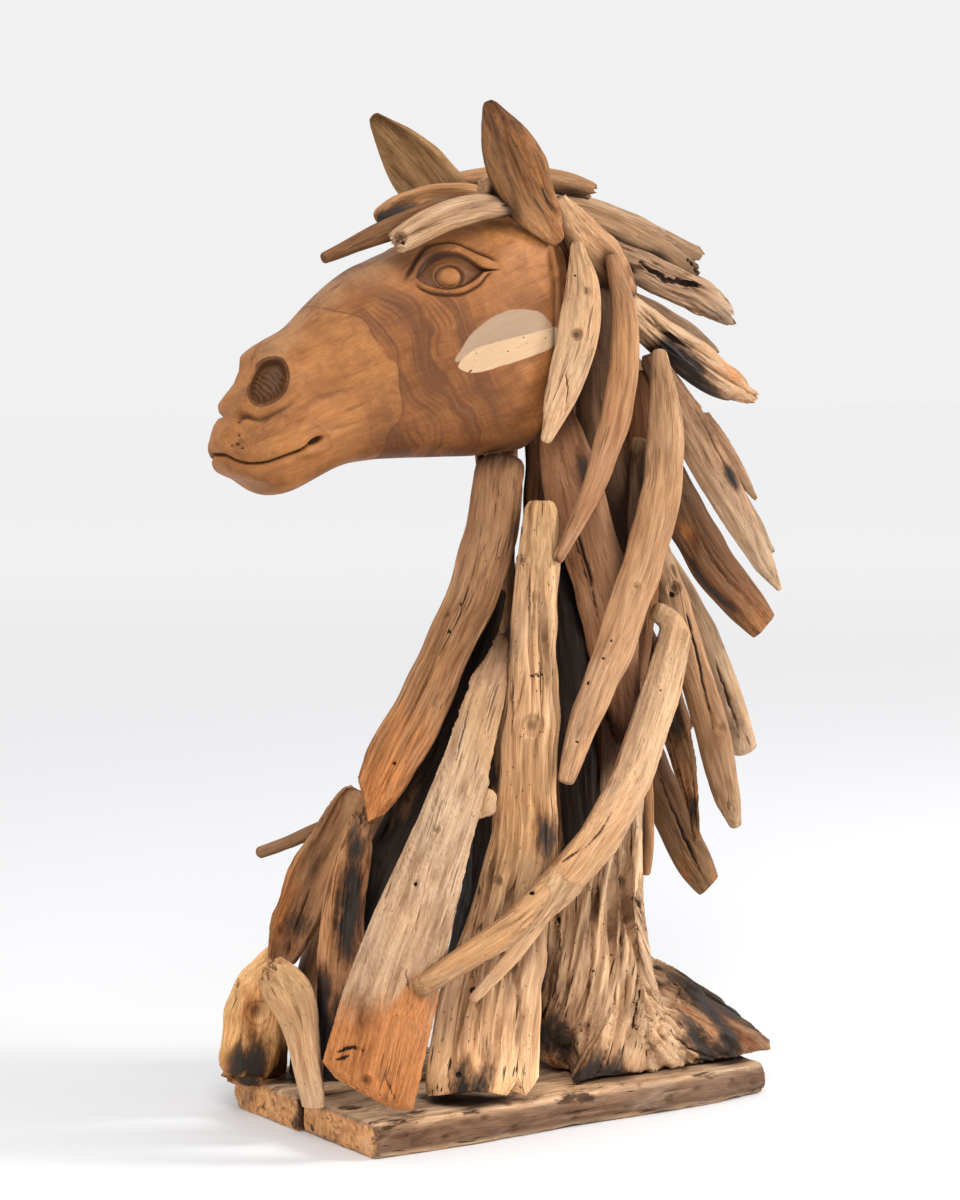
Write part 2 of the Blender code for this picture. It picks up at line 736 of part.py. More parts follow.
def mane_left(m):
    slat = [
        (0.064, -0.066, 0.908),
        (0.092, -0.066, 0.875),
        (0.122, -0.066, 0.848),
        (0.155, -0.062, 0.819),
    ]
    stick("crest_slat", m["pale"], slat, (0.014, 0.036, 0.034, 0.014), 0.7)
    broken = [
        (0.050, -0.014, 0.904),
        (0.115, -0.018, 0.903),
        (0.185, -0.028, 0.875),
        (0.250, -0.034, 0.843),
    ]
    stick("mane_broken_end", m["tan"], broken, (0.022, 0.036, 0.036, 0.026), 0.75)
    torn = [
        (0.104, -0.024, 0.872),
        (0.197, -0.032, 0.838),
        (0.242, -0.035, 0.822),
        (0.271, -0.036, 0.806),
        (0.298, -0.036, 0.789),
    ]
    stick("mane_torn", m["brown"], torn, (0.030, 0.042, 0.046, 0.034, 0.009), 0.5)
    split = [
        (0.122, -0.050, 0.830),
        (0.207, -0.054, 0.771),
        (0.258, -0.056, 0.741),
        (0.290, -0.056, 0.727),
        (0.316, -0.056, 0.715),
    ]
    stick("mane_split", m["pale"], split, (0.030, 0.046, 0.046, 0.034, 0.014), 0.65)
    forked = [
        (0.180, -0.058, 0.766),
        (0.240, -0.059, 0.679),
        (0.285, -0.060, 0.613),
        (0.326, -0.060, 0.555),
        (0.355, -0.060, 0.517),
    ]
    spur = [
        (0.246, -0.056, 0.700),
        (0.288, -0.046, 0.665),
        (0.320, -0.040, 0.633),
        (0.340, -0.038, 0.612),
    ]
    stick(
        "mane_forked",
        m["tan"],
        forked,
        (0.026, 0.046, 0.038, 0.028, 0.008),
        0.6,
        forks=((spur, (0.028, 0.024, 0.015, 0.007)),),
    )
    blunt = [
        (0.186, -0.020, 0.735),
        (0.232, -0.014, 0.640),
        (0.275, -0.012, 0.568),
        (0.321, -0.010, 0.518),
        (0.364, -0.010, 0.479),
    ]
    stick("mane_blunt", m["brown"], blunt, (0.032, 0.042, 0.050, 0.050, 0.038), 0.6)
    hooked = [
        (0.180, -0.056, 0.575),
        (0.220, -0.064, 0.463),
        (0.250, -0.068, 0.369),
        (0.267, -0.070, 0.305),
        (0.284, -0.070, 0.264),
    ]
    stick("mane_hooked", m["tan"], hooked, (0.030, 0.038, 0.038, 0.034, 0.012), 0.7)
    ragged = [
        (0.190, -0.020, 0.476),
        (0.226, -0.022, 0.405),
        (0.242, -0.022, 0.350),
        (0.258, -0.022, 0.300),
        (0.268, -0.022, 0.242),
    ]
    tooth = [(0.232, -0.022, 0.392), (0.262, -0.022, 0.366)]
    stick(
        "mane_ragged",
        m["charred"],
        ragged,
        (0.030, 0.036, 0.034, 0.024, 0.010),
        0.5,
        forks=((tooth, (0.022, 0.010)),),
    )
    thin = [
        (0.155, -0.060, 0.404),
        (0.163, -0.062, 0.311),
        (0.165, -0.062, 0.250),
        (0.163, -0.062, 0.222),
    ]
    stick("mane_thin", m["tan"], thin, (0.014, 0.018, 0.018, 0.011), 0.9)
    strip = [
        (0.134, -0.026, 0.360),
        (0.142, -0.026, 0.272),
        (0.155, -0.026, 0.200),
        (0.182, -0.026, 0.136),
    ]
    stick("root_strip", m["brown"], strip, (0.020, 0.024, 0.028, 0.020), 0.9)


def mane_right(m):
    poll = [
        (0.036, 0.030, 0.902),
        (0.110, 0.034, 0.915),
        (0.195, 0.046, 0.907),
        (0.270, 0.050, 0.882),
        (0.322, 0.050, 0.867),
    ]
    stick("mane_poll_right", m["tan"], poll, (0.026, 0.029, 0.028, 0.024, 0.017), 1.0, UP)
    grey = [
        (0.116, 0.010, 0.852),
        (0.190, 0.014, 0.820),
        (0.250, 0.018, 0.796),
        (0.300, 0.020, 0.769),
        (0.318, 0.020, 0.761),
    ]
    stick("mane_grey", m["brown"], grey, (0.020, 0.024, 0.026, 0.026, 0.012), 0.8)
    tip = [
        (0.168, 0.030, 0.780),
        (0.244, 0.026, 0.715),
        (0.310, 0.024, 0.648),
        (0.365, 0.022, 0.579),
        (0.396, 0.020, 0.540),
    ]
    stick("mane_spine_tip", m["tan"], tip, (0.024, 0.028, 0.029, 0.027, 0.012), 0.8)
    flat = [
        (0.188, 0.036, 0.630),
        (0.250, 0.034, 0.556),
        (0.299, 0.032, 0.495),
        (0.334, 0.030, 0.429),
        (0.362, 0.030, 0.362),
        (0.378, 0.030, 0.326),
    ]
    stick("mane_flat", m["tan"], flat, (0.028, 0.032, 0.032, 0.034, 0.038, 0.030), 0.6)
    low = [
        (0.176, 0.026, 0.450),
        (0.226, 0.022, 0.354),
        (0.257, 0.020, 0.285),
        (0.291, 0.020, 0.228),
        (0.318, 0.020, 0.190),
    ]
    stick("mane_low", m["brown"], low, (0.032, 0.040, 0.046, 0.044, 0.030), 0.6)
    upper = [
        (0.076, 0.040, 0.874),
        (0.146, 0.068, 0.850),
        (0.206, 0.090, 0.800),
        (0.243, 0.102, 0.738),
    ]
    stick("mane_right_upper", m["tan"], upper, (0.026, 0.038, 0.038, 0.016), 0.6, BACK_RIGHT)
    middle = [
        (0.128, 0.072, 0.752),
        (0.195, 0.096, 0.685),
        (0.240, 0.110, 0.605),
        (0.260, 0.114, 0.532),
    ]
    stick("mane_right_middle", m["pale"], middle, (0.026, 0.040, 0.040, 0.014), 0.6, BACK_RIGHT)
    lower = [
        (0.142, 0.072, 0.590),
        (0.208, 0.088, 0.490),
        (0.242, 0.098, 0.395),
        (0.250, 0.102, 0.322),
    ]
    stick("mane_right_lower", m["brown"], lower, (0.026, 0.038, 0.038, 0.016), 0.6, BACK_RIGHT)


def neck_right(m):
    slat = [
        (0.112, 0.050, 0.770),
        (0.124, 0.062, 0.640),
        (0.118, 0.068, 0.500),
        (0.104, 0.064, 0.380),
    ]
    stick("neck_slat_right", m["brown"], slat, (0.050, 0.064, 0.060, 0.040), 0.45, RIGHT)
    post = [
        (0.072, 0.066, 0.690),
        (0.078, 0.084, 0.540),
        (0.080, 0.090, 0.400),
        (0.076, 0.092, 0.260),
        (0.064, 0.092, 0.130),
        (0.052, 0.092, 0.028),
    ]
    stick("neck_post_right", m["tan"], post, (0.036, 0.054, 0.060, 0.066, 0.086, 0.106), 0.55, RIGHT)
    upper = [
        (0.098, 0.062, 0.852),
        (0.120, 0.083, 0.770),
        (0.112, 0.100, 0.690),
        (0.088, 0.108, 0.615),
        (0.066, 0.112, 0.552),
    ]
    stick("lock_right_upper", m["tan"], upper, (0.016, 0.034, 0.034, 0.030, 0.016), 0.75, RIGHT)
    lower = [
        (0.150, 0.086, 0.700),
        (0.158, 0.104, 0.610),
        (0.136, 0.116, 0.510),
        (0.100, 0.124, 0.420),
        (0.066, 0.124, 0.340),
    ]
    stick("lock_right_lower", m["pale"], lower, (0.018, 0.038, 0.042, 0.040, 0.020), 0.75, RIGHT)
    plank = [
        (0.004, 0.074, 0.440),
        (-0.036, 0.088, 0.330),
        (-0.084, 0.096, 0.230),
        (-0.120, 0.096, 0.130),
        (-0.136, 0.092, 0.028),
    ]
    stick("shoulder_plank_right", m["pale"], plank, (0.034, 0.056, 0.074, 0.084, 0.090), 0.4, RIGHT)
    inner = [
        (0.026, 0.076, 0.470),
        (0.004, 0.082, 0.330),
        (-0.026, 0.084, 0.200),
        (-0.050, 0.084, 0.100),
        (-0.060, 0.082, 0.028),
    ]
    stick("neck_slat_low_right", m["brown"], inner, (0.030, 0.046, 0.052, 0.062, 0.066), 0.5, RIGHT)
    root = [
        (0.146, 0.062, 0.470),
        (0.152, 0.066, 0.340),
        (0.154, 0.070, 0.220),
        (0.160, 0.072, 0.110),
        (0.166, 0.072, 0.028),
    ]
    stick("root_trunk_right", m["tan"], root, (0.052, 0.062, 0.074, 0.100, 0.130), 0.6, RIGHT)


def saw_feet_flat():
    """Sticks that reach the base are sawn level, just clear of the boards."""
    bm = bmesh.new()
    bmesh.ops.create_cube(bm, size=1.0)
    bmesh.ops.translate(bm, verts=bm.verts, vec=(0.0, 0.0, BASE_THICKNESS + FIT_GAP - 0.5))
    saw = bpy.data.meshes.new("saw")
    bm.to_mesh(saw)
    bm.free()
    for obj, _ in pieces:
        lowest = min(vert.co.z for vert in obj.data.vertices)
        if obj.name.startswith("base_board") or lowest > BASE_THICKNESS + FIT_GAP:
            continue
        material = obj.data.materials[0]
        obj.data = combined(obj.data, [saw], "DIFFERENCE")
        obj.data.materials.clear()
        obj.data.materials.append(material)


def main():
    clear_scene()
    m = woods()
    base(m)
    carved_head(m["carved"])
    cheek_locks(m)
    ears(m)
    left_locks(m)
    forelock(m)
    throat(m)
    neck_left(m)
    trunk(m)
    chest(m)
    crest(m)
    mane_left(m)
    mane_right(m)
    neck_right(m)
    saw_feet_flat()
    notch_pieces()
    remove_cutters()


main()
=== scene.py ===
import json
import math
import random

import bmesh
import bpy
import numpy as np
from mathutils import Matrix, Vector
from mathutils.bvhtree import BVHTree
from mathutils.geometry import convex_hull_2d


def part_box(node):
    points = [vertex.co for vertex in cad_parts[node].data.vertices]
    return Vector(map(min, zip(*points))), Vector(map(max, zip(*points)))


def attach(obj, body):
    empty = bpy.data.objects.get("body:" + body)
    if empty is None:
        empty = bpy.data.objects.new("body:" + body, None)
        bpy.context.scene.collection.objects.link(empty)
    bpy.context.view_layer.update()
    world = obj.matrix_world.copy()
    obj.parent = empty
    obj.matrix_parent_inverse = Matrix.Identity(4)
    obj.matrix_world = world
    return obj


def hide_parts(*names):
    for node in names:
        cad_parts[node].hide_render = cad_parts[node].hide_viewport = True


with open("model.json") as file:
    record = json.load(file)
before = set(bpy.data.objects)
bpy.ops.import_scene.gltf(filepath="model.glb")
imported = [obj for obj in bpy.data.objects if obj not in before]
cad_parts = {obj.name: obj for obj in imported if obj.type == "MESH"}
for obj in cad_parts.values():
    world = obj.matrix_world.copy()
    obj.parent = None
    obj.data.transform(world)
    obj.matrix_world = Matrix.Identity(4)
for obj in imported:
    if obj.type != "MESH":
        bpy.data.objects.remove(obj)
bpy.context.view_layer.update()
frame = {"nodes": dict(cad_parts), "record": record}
print("frame loaded:", len(frame["nodes"]), "nodes")


class Net:  # makes and joins the nodes of one tree; most methods return the new node's result
    def __init__(self, tree):
        self.tree = tree

    def socket(self, name, default=None, kind="Float", output=False):
        way = "OUTPUT" if output else "INPUT"
        made = self.tree.interface.new_socket(name=name, in_out=way, socket_type="NodeSocket" + kind)
        if default is not None:
            made.default_value = default

    def add(self, kind, inputs=None, **settings):  # returns the node itself
        made = self.tree.nodes.new(kind)
        for key, value in settings.items():
            setattr(made, key, value)
        for key, value in (inputs or {}).items():
            self.feed(value, made.inputs[key])
        return made

    def feed(self, value, socket):
        if isinstance(value, bpy.types.NodeSocket):
            self.tree.links.new(value, socket)
        else:
            socket.default_value = value

    def calc(self, operation, a, b=0.0, c=0.0, clamp=False):
        return self.add("ShaderNodeMath", {0: a, 1: b, 2: c}, operation=operation, use_clamp=clamp).outputs[0]

    def times(self, a, b, clamp=False):
        return self.calc("MULTIPLY", a, b, clamp=clamp)

    def plus(self, a, b):
        return self.calc("ADD", a, b)

    def minus(self, a, b, clamp=False):
        return self.calc("SUBTRACT", a, b, clamp=clamp)

    def timesPlus(self, a, b, c, clamp=False):
        return self.calc("MULTIPLY_ADD", a, b, c, clamp)

    def most(self, a, b):
        return self.calc("MAXIMUM", a, b)

    def above(self, a, limit):
        return self.calc("GREATER_THAN", a, limit)

    def inverse(self, a):
        return self.calc("DIVIDE", 1.0, a)

    def remap(self, value, low, high, outLow=0.0, outHigh=1.0):  # smooth step from low to high, clamped
        inputs = {"Value": value, "From Min": low, "From Max": high, "To Min": outLow, "To Max": outHigh}
        return self.add("ShaderNodeMapRange", inputs, interpolation_type="SMOOTHSTEP").outputs[0]

    def scaled(self, vector, factors):
        return self.add("ShaderNodeVectorMath", {0: vector, 1: factors}, operation="MULTIPLY").outputs[0]

    def stretched(self, vector, share):  # finer or coarser along the grain only
        return self.scaled(vector, (1.0, 1.0, share))

    def sized(self, vector, factor):
        return self.add("ShaderNodeVectorMath", {0: vector, "Scale": factor}, operation="SCALE").outputs[0]

    def shifted(self, vector, offset):
        return self.add("ShaderNodeVectorMath", {0: vector, 1: offset}, operation="ADD").outputs[0]

    def cloud(self, vector, scale, detail=2.0, roughness=0.5, distortion=0.0, output="Fac"):  # noise
        inputs = {"Vector": vector, "Scale": scale, "Detail": detail, "Roughness": roughness}
        return self.add("ShaderNodeTexNoise", {**inputs, "Distortion": distortion}).outputs[output]

    def wave(self, vector, stretch, scale, amount):  # slow sideways drift of the fibres
        drift = self.cloud(self.stretched(vector, stretch), scale, 1.0, output="Color")
        push = self.sized(self.shifted(drift, (-0.5, -0.5, -0.5)), amount)
        return self.shifted(vector, self.scaled(push, (2.0, 2.0, 0.0)))

    def cells(self, vector, scale):
        inputs = {"Vector": vector, "Scale": scale, "Randomness": 1.0}
        return self.add("ShaderNodeTexVoronoi", inputs, feature="F1").outputs

    def blend(self, share, a, b, kind="MIX"):
        made = self.add("ShaderNodeMix", data_type="RGBA", blend_type=kind, clamp_factor=True)
        for value, index in ((share, 0), (a, 6), (b, 7)):
            self.feed((*value, 1.0) if isinstance(value, tuple) else value, made.inputs[index])
        return made.outputs[2]

    def tinted(self, colour, factors):
        return self.blend(1.0, colour, factors, "MULTIPLY")

    def read(self, name, output="Fac"):  # an attribute of the mesh, in a material
        return self.add("ShaderNodeAttribute", attribute_name=name).outputs[output]

    def named(self, name, kind="FLOAT"):  # an attribute of the mesh, in the relief tree
        return self.add("GeometryNodeInputNamedAttribute", {"Name": name}, data_type=kind).outputs[0]


def newMaterial(name, specular=None):  # its net and the sockets of its Principled shader
    material = bpy.data.materials.new(name)
    material.use_nodes = True
    shader = material.node_tree.nodes["Principled BSDF"].inputs
    if specular is not None:
        shader["Specular IOR Level"].default_value = specular
    return material, Net(material.node_tree), shader


def graded(factor, colour):
    return tuple(factor * part for part in colour)


# camera, floor and light

view = {"place": (-1.751, -2.558, 0.76), "downTilt": 0.0802, "lens": 92.9, "filmHeight": 36.0}
studio = {
    # painted light: the floor is grey near the sculpture and nearly white far off, so that it fades into the
    # bright sky
    "floorNear": (0.78, 0.785, 0.8),
    "floorFar": (0.985, 0.985, 0.99),
    "floorRoughness": 0.9,
    "floorHalf": 30.0,
    "skyLight": 0.88,
    "keyPlace": (-1.7, -2.3, 2.9),
    "keySize": 1.5,
    "keyPower": 66.0,
    "fillPlace": (2.6, -1.8, 1.9),
    "fillSize": 0.7,
    "fillPower": 80.0,
}


def addCamera():
    lens = bpy.data.cameras.new("camera")
    lens.sensor_fit = "VERTICAL"
    lens.sensor_height = view["filmHeight"]
    lens.lens = view["lens"]
    obj = bpy.data.objects.new("camera", lens)
    bpy.context.scene.collection.objects.link(obj)
    x, y, z = view["place"]
    flat = math.cos(view["downTilt"]) / math.hypot(x, y)
    ahead = Vector((-x * flat, -y * flat, -math.sin(view["downTilt"])))
    obj.location = (x, y, z)
    obj.rotation_euler = ahead.to_track_quat("-Z", "Y").to_euler()
    bpy.context.scene.camera = obj


def addSoftbox(name, place, size, power, target=(0.04, 0.0, 0.5)):
    lamp = bpy.data.lights.new(name, "AREA")
    lamp.shape = "SQUARE"
    lamp.size = size
    lamp.energy = power
    obj = bpy.data.objects.new(name, lamp)
    bpy.context.scene.collection.objects.link(obj)
    obj.location = place
    obj.rotation_euler = (Vector(target) - Vector(place)).to_track_quat("-Z", "Y").to_euler()


def addStudio():
    world = bpy.data.worlds.new("studio")
    world.use_nodes = True
    sky = world.node_tree.nodes["Background"]
    sky.inputs["Color"].default_value = (1.0, 1.0, 1.0, 1.0)
    sky.inputs["Strength"].default_value = studio["skyLight"]
    bpy.context.scene.world = world
    addSoftbox("keySoftbox", studio["keyPlace"], studio["keySize"], studio["keyPower"])
    addSoftbox("fillSoftbox", studio["fillPlace"], studio["fillSize"], studio["fillPower"])
    mesh = bpy.data.meshes.new("floor")
    half = studio["floorHalf"]
    corners = [(half * x, half * y, 0) for x, y in ((-1, -1), (1, -1), (1, 1), (-1, 1))]
    mesh.from_pydata(corners, [], [(0, 1, 2, 3)])
    floor = bpy.data.objects.new("floor", mesh)
    bpy.context.scene.collection.objects.link(floor)
    paint, net, shader = newMaterial("floorPaint")
    place = net.add("ShaderNodeTexCoord").outputs["Object"]
    far = net.add("ShaderNodeVectorMath", {0: place}, operation="LENGTH").outputs["Value"]
    # painted light: grey near the sculpture, nearly white far off where the floor meets the sky
    colour = net.blend(net.remap(far, 1.0, 9.0), studio["floorNear"], studio["floorFar"])
    net.feed(colour, shader["Base Color"])
    net.feed(studio["floorRoughness"], shader["Roughness"])
    mesh.materials.append(paint)
    bpy.context.scene.view_settings.view_transform = "Standard"


# relief of weathered wood, as a Geometry Nodes tree; lengths are in metres

reliefInputs = {
    "Seed": 0.0,
    "Lump Depth": 0.003,
    "Lump Size": 0.06,
    "Groove Depth": 0.0012,
    "Groove Spacing": 0.007,
    "Fibre Depth": 0.0004,
    "Crack Depth": 0.004,
    "Crack Spacing": 0.03,
    "Crack Amount": 0.35,
    "Wave": 0.004,
    "Knot Spacing": 0.12,
    "Knot Height": 0.002,
    "Pit Depth": 0.0,
}


def makeReliefTree():
    net = Net(bpy.data.node_groups.new("driftwoodRelief", "GeometryNodeTree"))
    net.socket("Geometry", kind="Geometry")
    for name, value in reliefInputs.items():
        net.socket(name, value)
    net.socket("Material", kind="Material")
    net.socket("Geometry", kind="Geometry", output=True)
    given = net.add("NodeGroupInput").outputs
    done = net.add("NodeGroupOutput").inputs

    grain = net.named("grain", "FLOAT_VECTOR")
    far = {axis: net.times(given["Seed"], factor) for axis, factor in zip("XYZ", (1.37, 2.11, 0.73))}
    grain = net.shifted(grain, net.add("ShaderNodeCombineXYZ", far).outputs[0])
    wavy = net.wave(grain, 0.45, 16.0, given["Wave"])

    # knots: the fibres swell and part around them
    knots = net.cells(net.stretched(grain, 0.55), net.inverse(given["Knot Spacing"]))
    knotMound = net.remap(knots["Distance"], 0.0, 0.26, 1.0, 0.0)
    knotEye = net.remap(knots["Distance"], 0.03, 0.11, 1.0, 0.0)
    knotRise = net.minus(knotMound, net.times(knotEye, 1.1))
    aside = net.scaled(net.shifted(knots["Color"], (-0.5, -0.5, 0.0)), (1.0, 1.0, 0.0))
    wavy = net.shifted(wavy, net.sized(aside, net.times(knotMound, 0.012)))

    lumps = net.cloud(net.stretched(wavy, 0.4), net.inverse(given["Lump Size"]), 1.5)
    lumps = net.times(net.minus(lumps, 0.58), 2.4)

    def grooveLayer(spacing, stretch, low, high, detail=1.0):  # 1 in the bottom of a long narrow valley
        field = net.cloud(net.stretched(wavy, stretch), net.inverse(spacing), detail)
        return net.remap(net.calc("ABSOLUTE", net.minus(field, 0.5)), low, high, 1.0, 0.0)

    grooves = grooveLayer(given["Groove Spacing"], 0.07, 0.0, 0.1)
    patches = net.remap(net.cloud(net.stretched(grain, 0.5), 22.0, 1.0), 0.38, 0.62, 0.25, 1.0)
    grooves = net.times(grooves, patches)
    fibres = grooveLayer(net.times(given["Groove Spacing"], 0.42), 0.05, 0.0, 0.14)
    cracks = grooveLayer(given["Crack Spacing"], 0.05, 0.004, 0.022, 0.0)
    limit = net.minus(1.0, given["Crack Amount"])
    where = net.cloud(net.scaled(net.shifted(grain, (3.1, 1.7, 0.4)), (1.0, 1.0, 0.35)), 20.0, 1.0)
    cracks = net.times(cracks, net.remap(where, limit, net.plus(limit, 0.12)))
    pits = net.remap(net.cells(net.stretched(wavy, 0.5), 75.0)["Distance"], 0.1, 0.3, 1.0, 0.0)
    sideness = net.minus(1.0, net.named("endness"))

    depth = net.times(lumps, given["Lump Depth"])
    depth = net.timesPlus(knotRise, given["Knot Height"], depth)
    carved = net.times(grooves, given["Groove Depth"])
    carved = net.timesPlus(fibres, given["Fibre Depth"], carved)
    carved = net.timesPlus(pits, given["Pit Depth"], carved)
    carved = net.times(carved, sideness)
    carved = net.timesPlus(cracks, given["Crack Depth"], carved)
    depth = net.minus(depth, carved)
    move = net.sized(net.add("GeometryNodeInputNormal").outputs[0], depth)
    placed = net.add("GeometryNodeSetPosition", {"Geometry": given["Geometry"], "Offset": move}).outputs[0]

    def store(geometry, name, value):  # keeps the larger of the value and what the mesh already has
        inputs = {"Geometry": geometry, "Name": name, "Value": net.most(value, net.named(name))}
        kept = net.add("GeometryNodeStoreNamedAttribute", inputs, data_type="FLOAT", domain="POINT")
        return kept.outputs[0]

    # masks for painted shade: darker in grooves, fibres, pits and cracks, near black inside the cracks
    hollow = net.most(net.plus(net.times(grooves, 0.55), net.times(fibres, 0.25)), cracks)
    hollow = net.most(hollow, net.times(pits, net.above(given["Pit Depth"], 0.0)))
    cracks = net.times(cracks, net.above(given["Crack Depth"], 0.0))
    placed = store(store(placed, "recessShade", hollow), "crack", cracks)
    knotEye = net.times(knotEye, net.times(net.above(given["Knot Height"], 0.0), 0.35))
    placed = store(placed, "knot", knotEye)
    real = net.add("GeometryNodeRealizeInstances", {"Geometry": placed}).outputs[0]
    coated = net.add("GeometryNodeSetMaterial", {"Geometry": real, "Material": given["Material"]}).outputs[0]
    net.feed(coated, done[0])
    return net.tree


def finishWith(obj, tree, values):  # runs the tree on obj once and keeps the plain mesh
    modifier = obj.modifiers.new(tree.name, "NODES")
    modifier.node_group = tree
    for item in tree.interface.items_tree:
        if item.item_type == "SOCKET" and item.in_out == "INPUT" and item.name in values:
            modifier[item.identifier] = values[item.name]
    graph = bpy.context.evaluated_depsgraph_get()
    graph.update()
    mesh = bpy.data.meshes.new_from_object(obj.evaluated_get(graph))
    obj.modifiers.remove(modifier)
    old = obj.data
    obj.data = mesh
    bpy.data.meshes.remove(old)
    mesh.name = obj.name


# measuring a stick on its CAD solid


def cornersOf(name):
    mesh = frame["nodes"][name].data
    mesh.calc_loop_triangles()
    points = np.empty(len(mesh.vertices) * 3)
    mesh.vertices.foreach_get("co", points)
    faces = np.empty(len(mesh.loop_triangles) * 3, dtype=np.int32)
    mesh.loop_triangles.foreach_get("vertices", faces)
    return points.reshape(-1, 3), faces.reshape(-1, 3)


def lengths(vectors):
    return np.linalg.norm(vectors, axis=-1)


def unit(vector):
    return vector / (lengths(vector)[..., None] + 1e-12)


def sliceAt(points, faces, at, normal, reach):  # where a plane cuts the solid's edges, near one point
    side = (points - at) @ normal
    ahead = np.roll(faces, -1, axis=1)
    here, there = side[faces], side[ahead]
    crossing = (here < 0) != (there < 0)
    a, b = faces[crossing], ahead[crossing]
    share = (side[a] / (side[a] - side[b]))[:, None]
    hits = points[a] + (points[b] - points[a]) * share
    return hits[lengths(hits - at) < reach]


def planeAxes(normal, face):
    across = unit(np.cross(normal, face))
    return across, np.cross(across, normal)


def hullOf(hits, at, across, front):
    flat = np.stack([(hits - at) @ across, (hits - at) @ front], 1)
    order = convex_hull_2d([Vector(p) for p in flat])
    return flat[order]


def hullMiddle(ring):
    ahead = np.roll(ring, -1, axis=0)
    cross = ring[:, 0] * ahead[:, 1] - ahead[:, 0] * ring[:, 1]
    area = cross.sum() / 2
    if abs(area) < 1e-9:
        return ring.mean(0)
    return ((ring + ahead) * cross[:, None]).sum(0) / (6 * area)


def smoothRows(values, sigma, closed=False):
    if sigma < 0.2:
        return values
    radius = int(3 * sigma) + 1
    kernel = np.exp(-0.5 * (np.arange(-radius, radius + 1) / sigma) ** 2)
    kernel /= kernel.sum()
    if closed:
        padded = np.concatenate([values[-radius:], values, values[:radius]])
    else:
        padded = np.concatenate([np.repeat(values[:1], radius, 0), values, np.repeat(values[-1:], radius, 0)])
    return sum(k * padded[i : i + len(values)] for i, k in enumerate(kernel))


def lineLength(line):
    return lengths(np.diff(line, axis=0)).sum()


def alongLine(line, count):  # evenly spaced points on a polyline
    places = np.concatenate([[0], np.cumsum(lengths(np.diff(line, axis=0)))])
    wanted = np.linspace(0, places[-1], count)
    return np.stack([np.interp(wanted, places, level) for level in line.T], 1)


def middleLine(points, faces, face, reach):
    centre = points.mean(0)
    axis = np.linalg.svd(points - centre, full_matrices=False)[2][0]
    if axis[2] > 0 or (abs(axis[2]) < 0.02 and axis[0] < 0):
        axis = -axis
    along = (points - centre) @ axis
    low, high = along.min(), along.max()
    line = np.array([centre + axis * t for t in np.linspace(low, high, 26)[1:-1]])
    tangents = np.repeat(axis[None], len(line), 0)
    for _ in range(3):
        found = []
        for at, tangent in zip(line, tangents):
            hits = sliceAt(points, faces, at, tangent, reach)
            if len(hits) < 3:
                continue
            across, front = planeAxes(tangent, face)
            x, y = hullMiddle(hullOf(hits, at, across, front))
            found.append(at + across * x + front * y)
        line = alongLine(smoothRows(np.array(found), 1.5), 24)
        tangents = unit(np.gradient(line, axis=0))
    return line


def toEnds(line, points, reach, footHeight):  # lengthens the line to both ends of the solid
    def toEnd(tip, before):
        way = unit(tip - before)
        near = points[lengths(points - tip) < reach]
        return tip + way * max(((near - tip) @ way).max() - 0.0008, 0.0005)

    start = toEnd(line[0], line[1])
    if footHeight is None:
        finish = toEnd(line[-1], line[-2])
    else:
        last = unit(line[-1] - line[-2])
        finish = line[-1] + last * (footHeight - line[-1][2]) / last[2]
    return np.concatenate([[start], line, [finish]])


def evenRing(ring, count):  # evenly spaced points round a closed outline, starting at its top
    even = alongLine(np.concatenate([ring, ring[:1]]), count + 1)[:-1]
    middle = hullMiddle(ring)
    angles = np.arctan2(even[:, 1] - middle[1], even[:, 0] - middle[0])
    return np.roll(even, -int(np.argmin(np.abs(np.angle(np.exp(1j * (angles - math.pi / 2)))))), axis=0)


def roundedRing(ring, soft):
    length = lengths(ring - np.roll(ring, 1, axis=0)).sum()
    count = len(ring)
    middle = hullMiddle(ring)
    rounded = smoothRows(ring, min(soft / (length / count), count / 8), closed=True)
    spread = np.sqrt(((ring - middle) ** 2).sum() / ((rounded - middle) ** 2).sum())
    return middle + (rounded - middle) * (1 + (spread - 1) * 0.7)


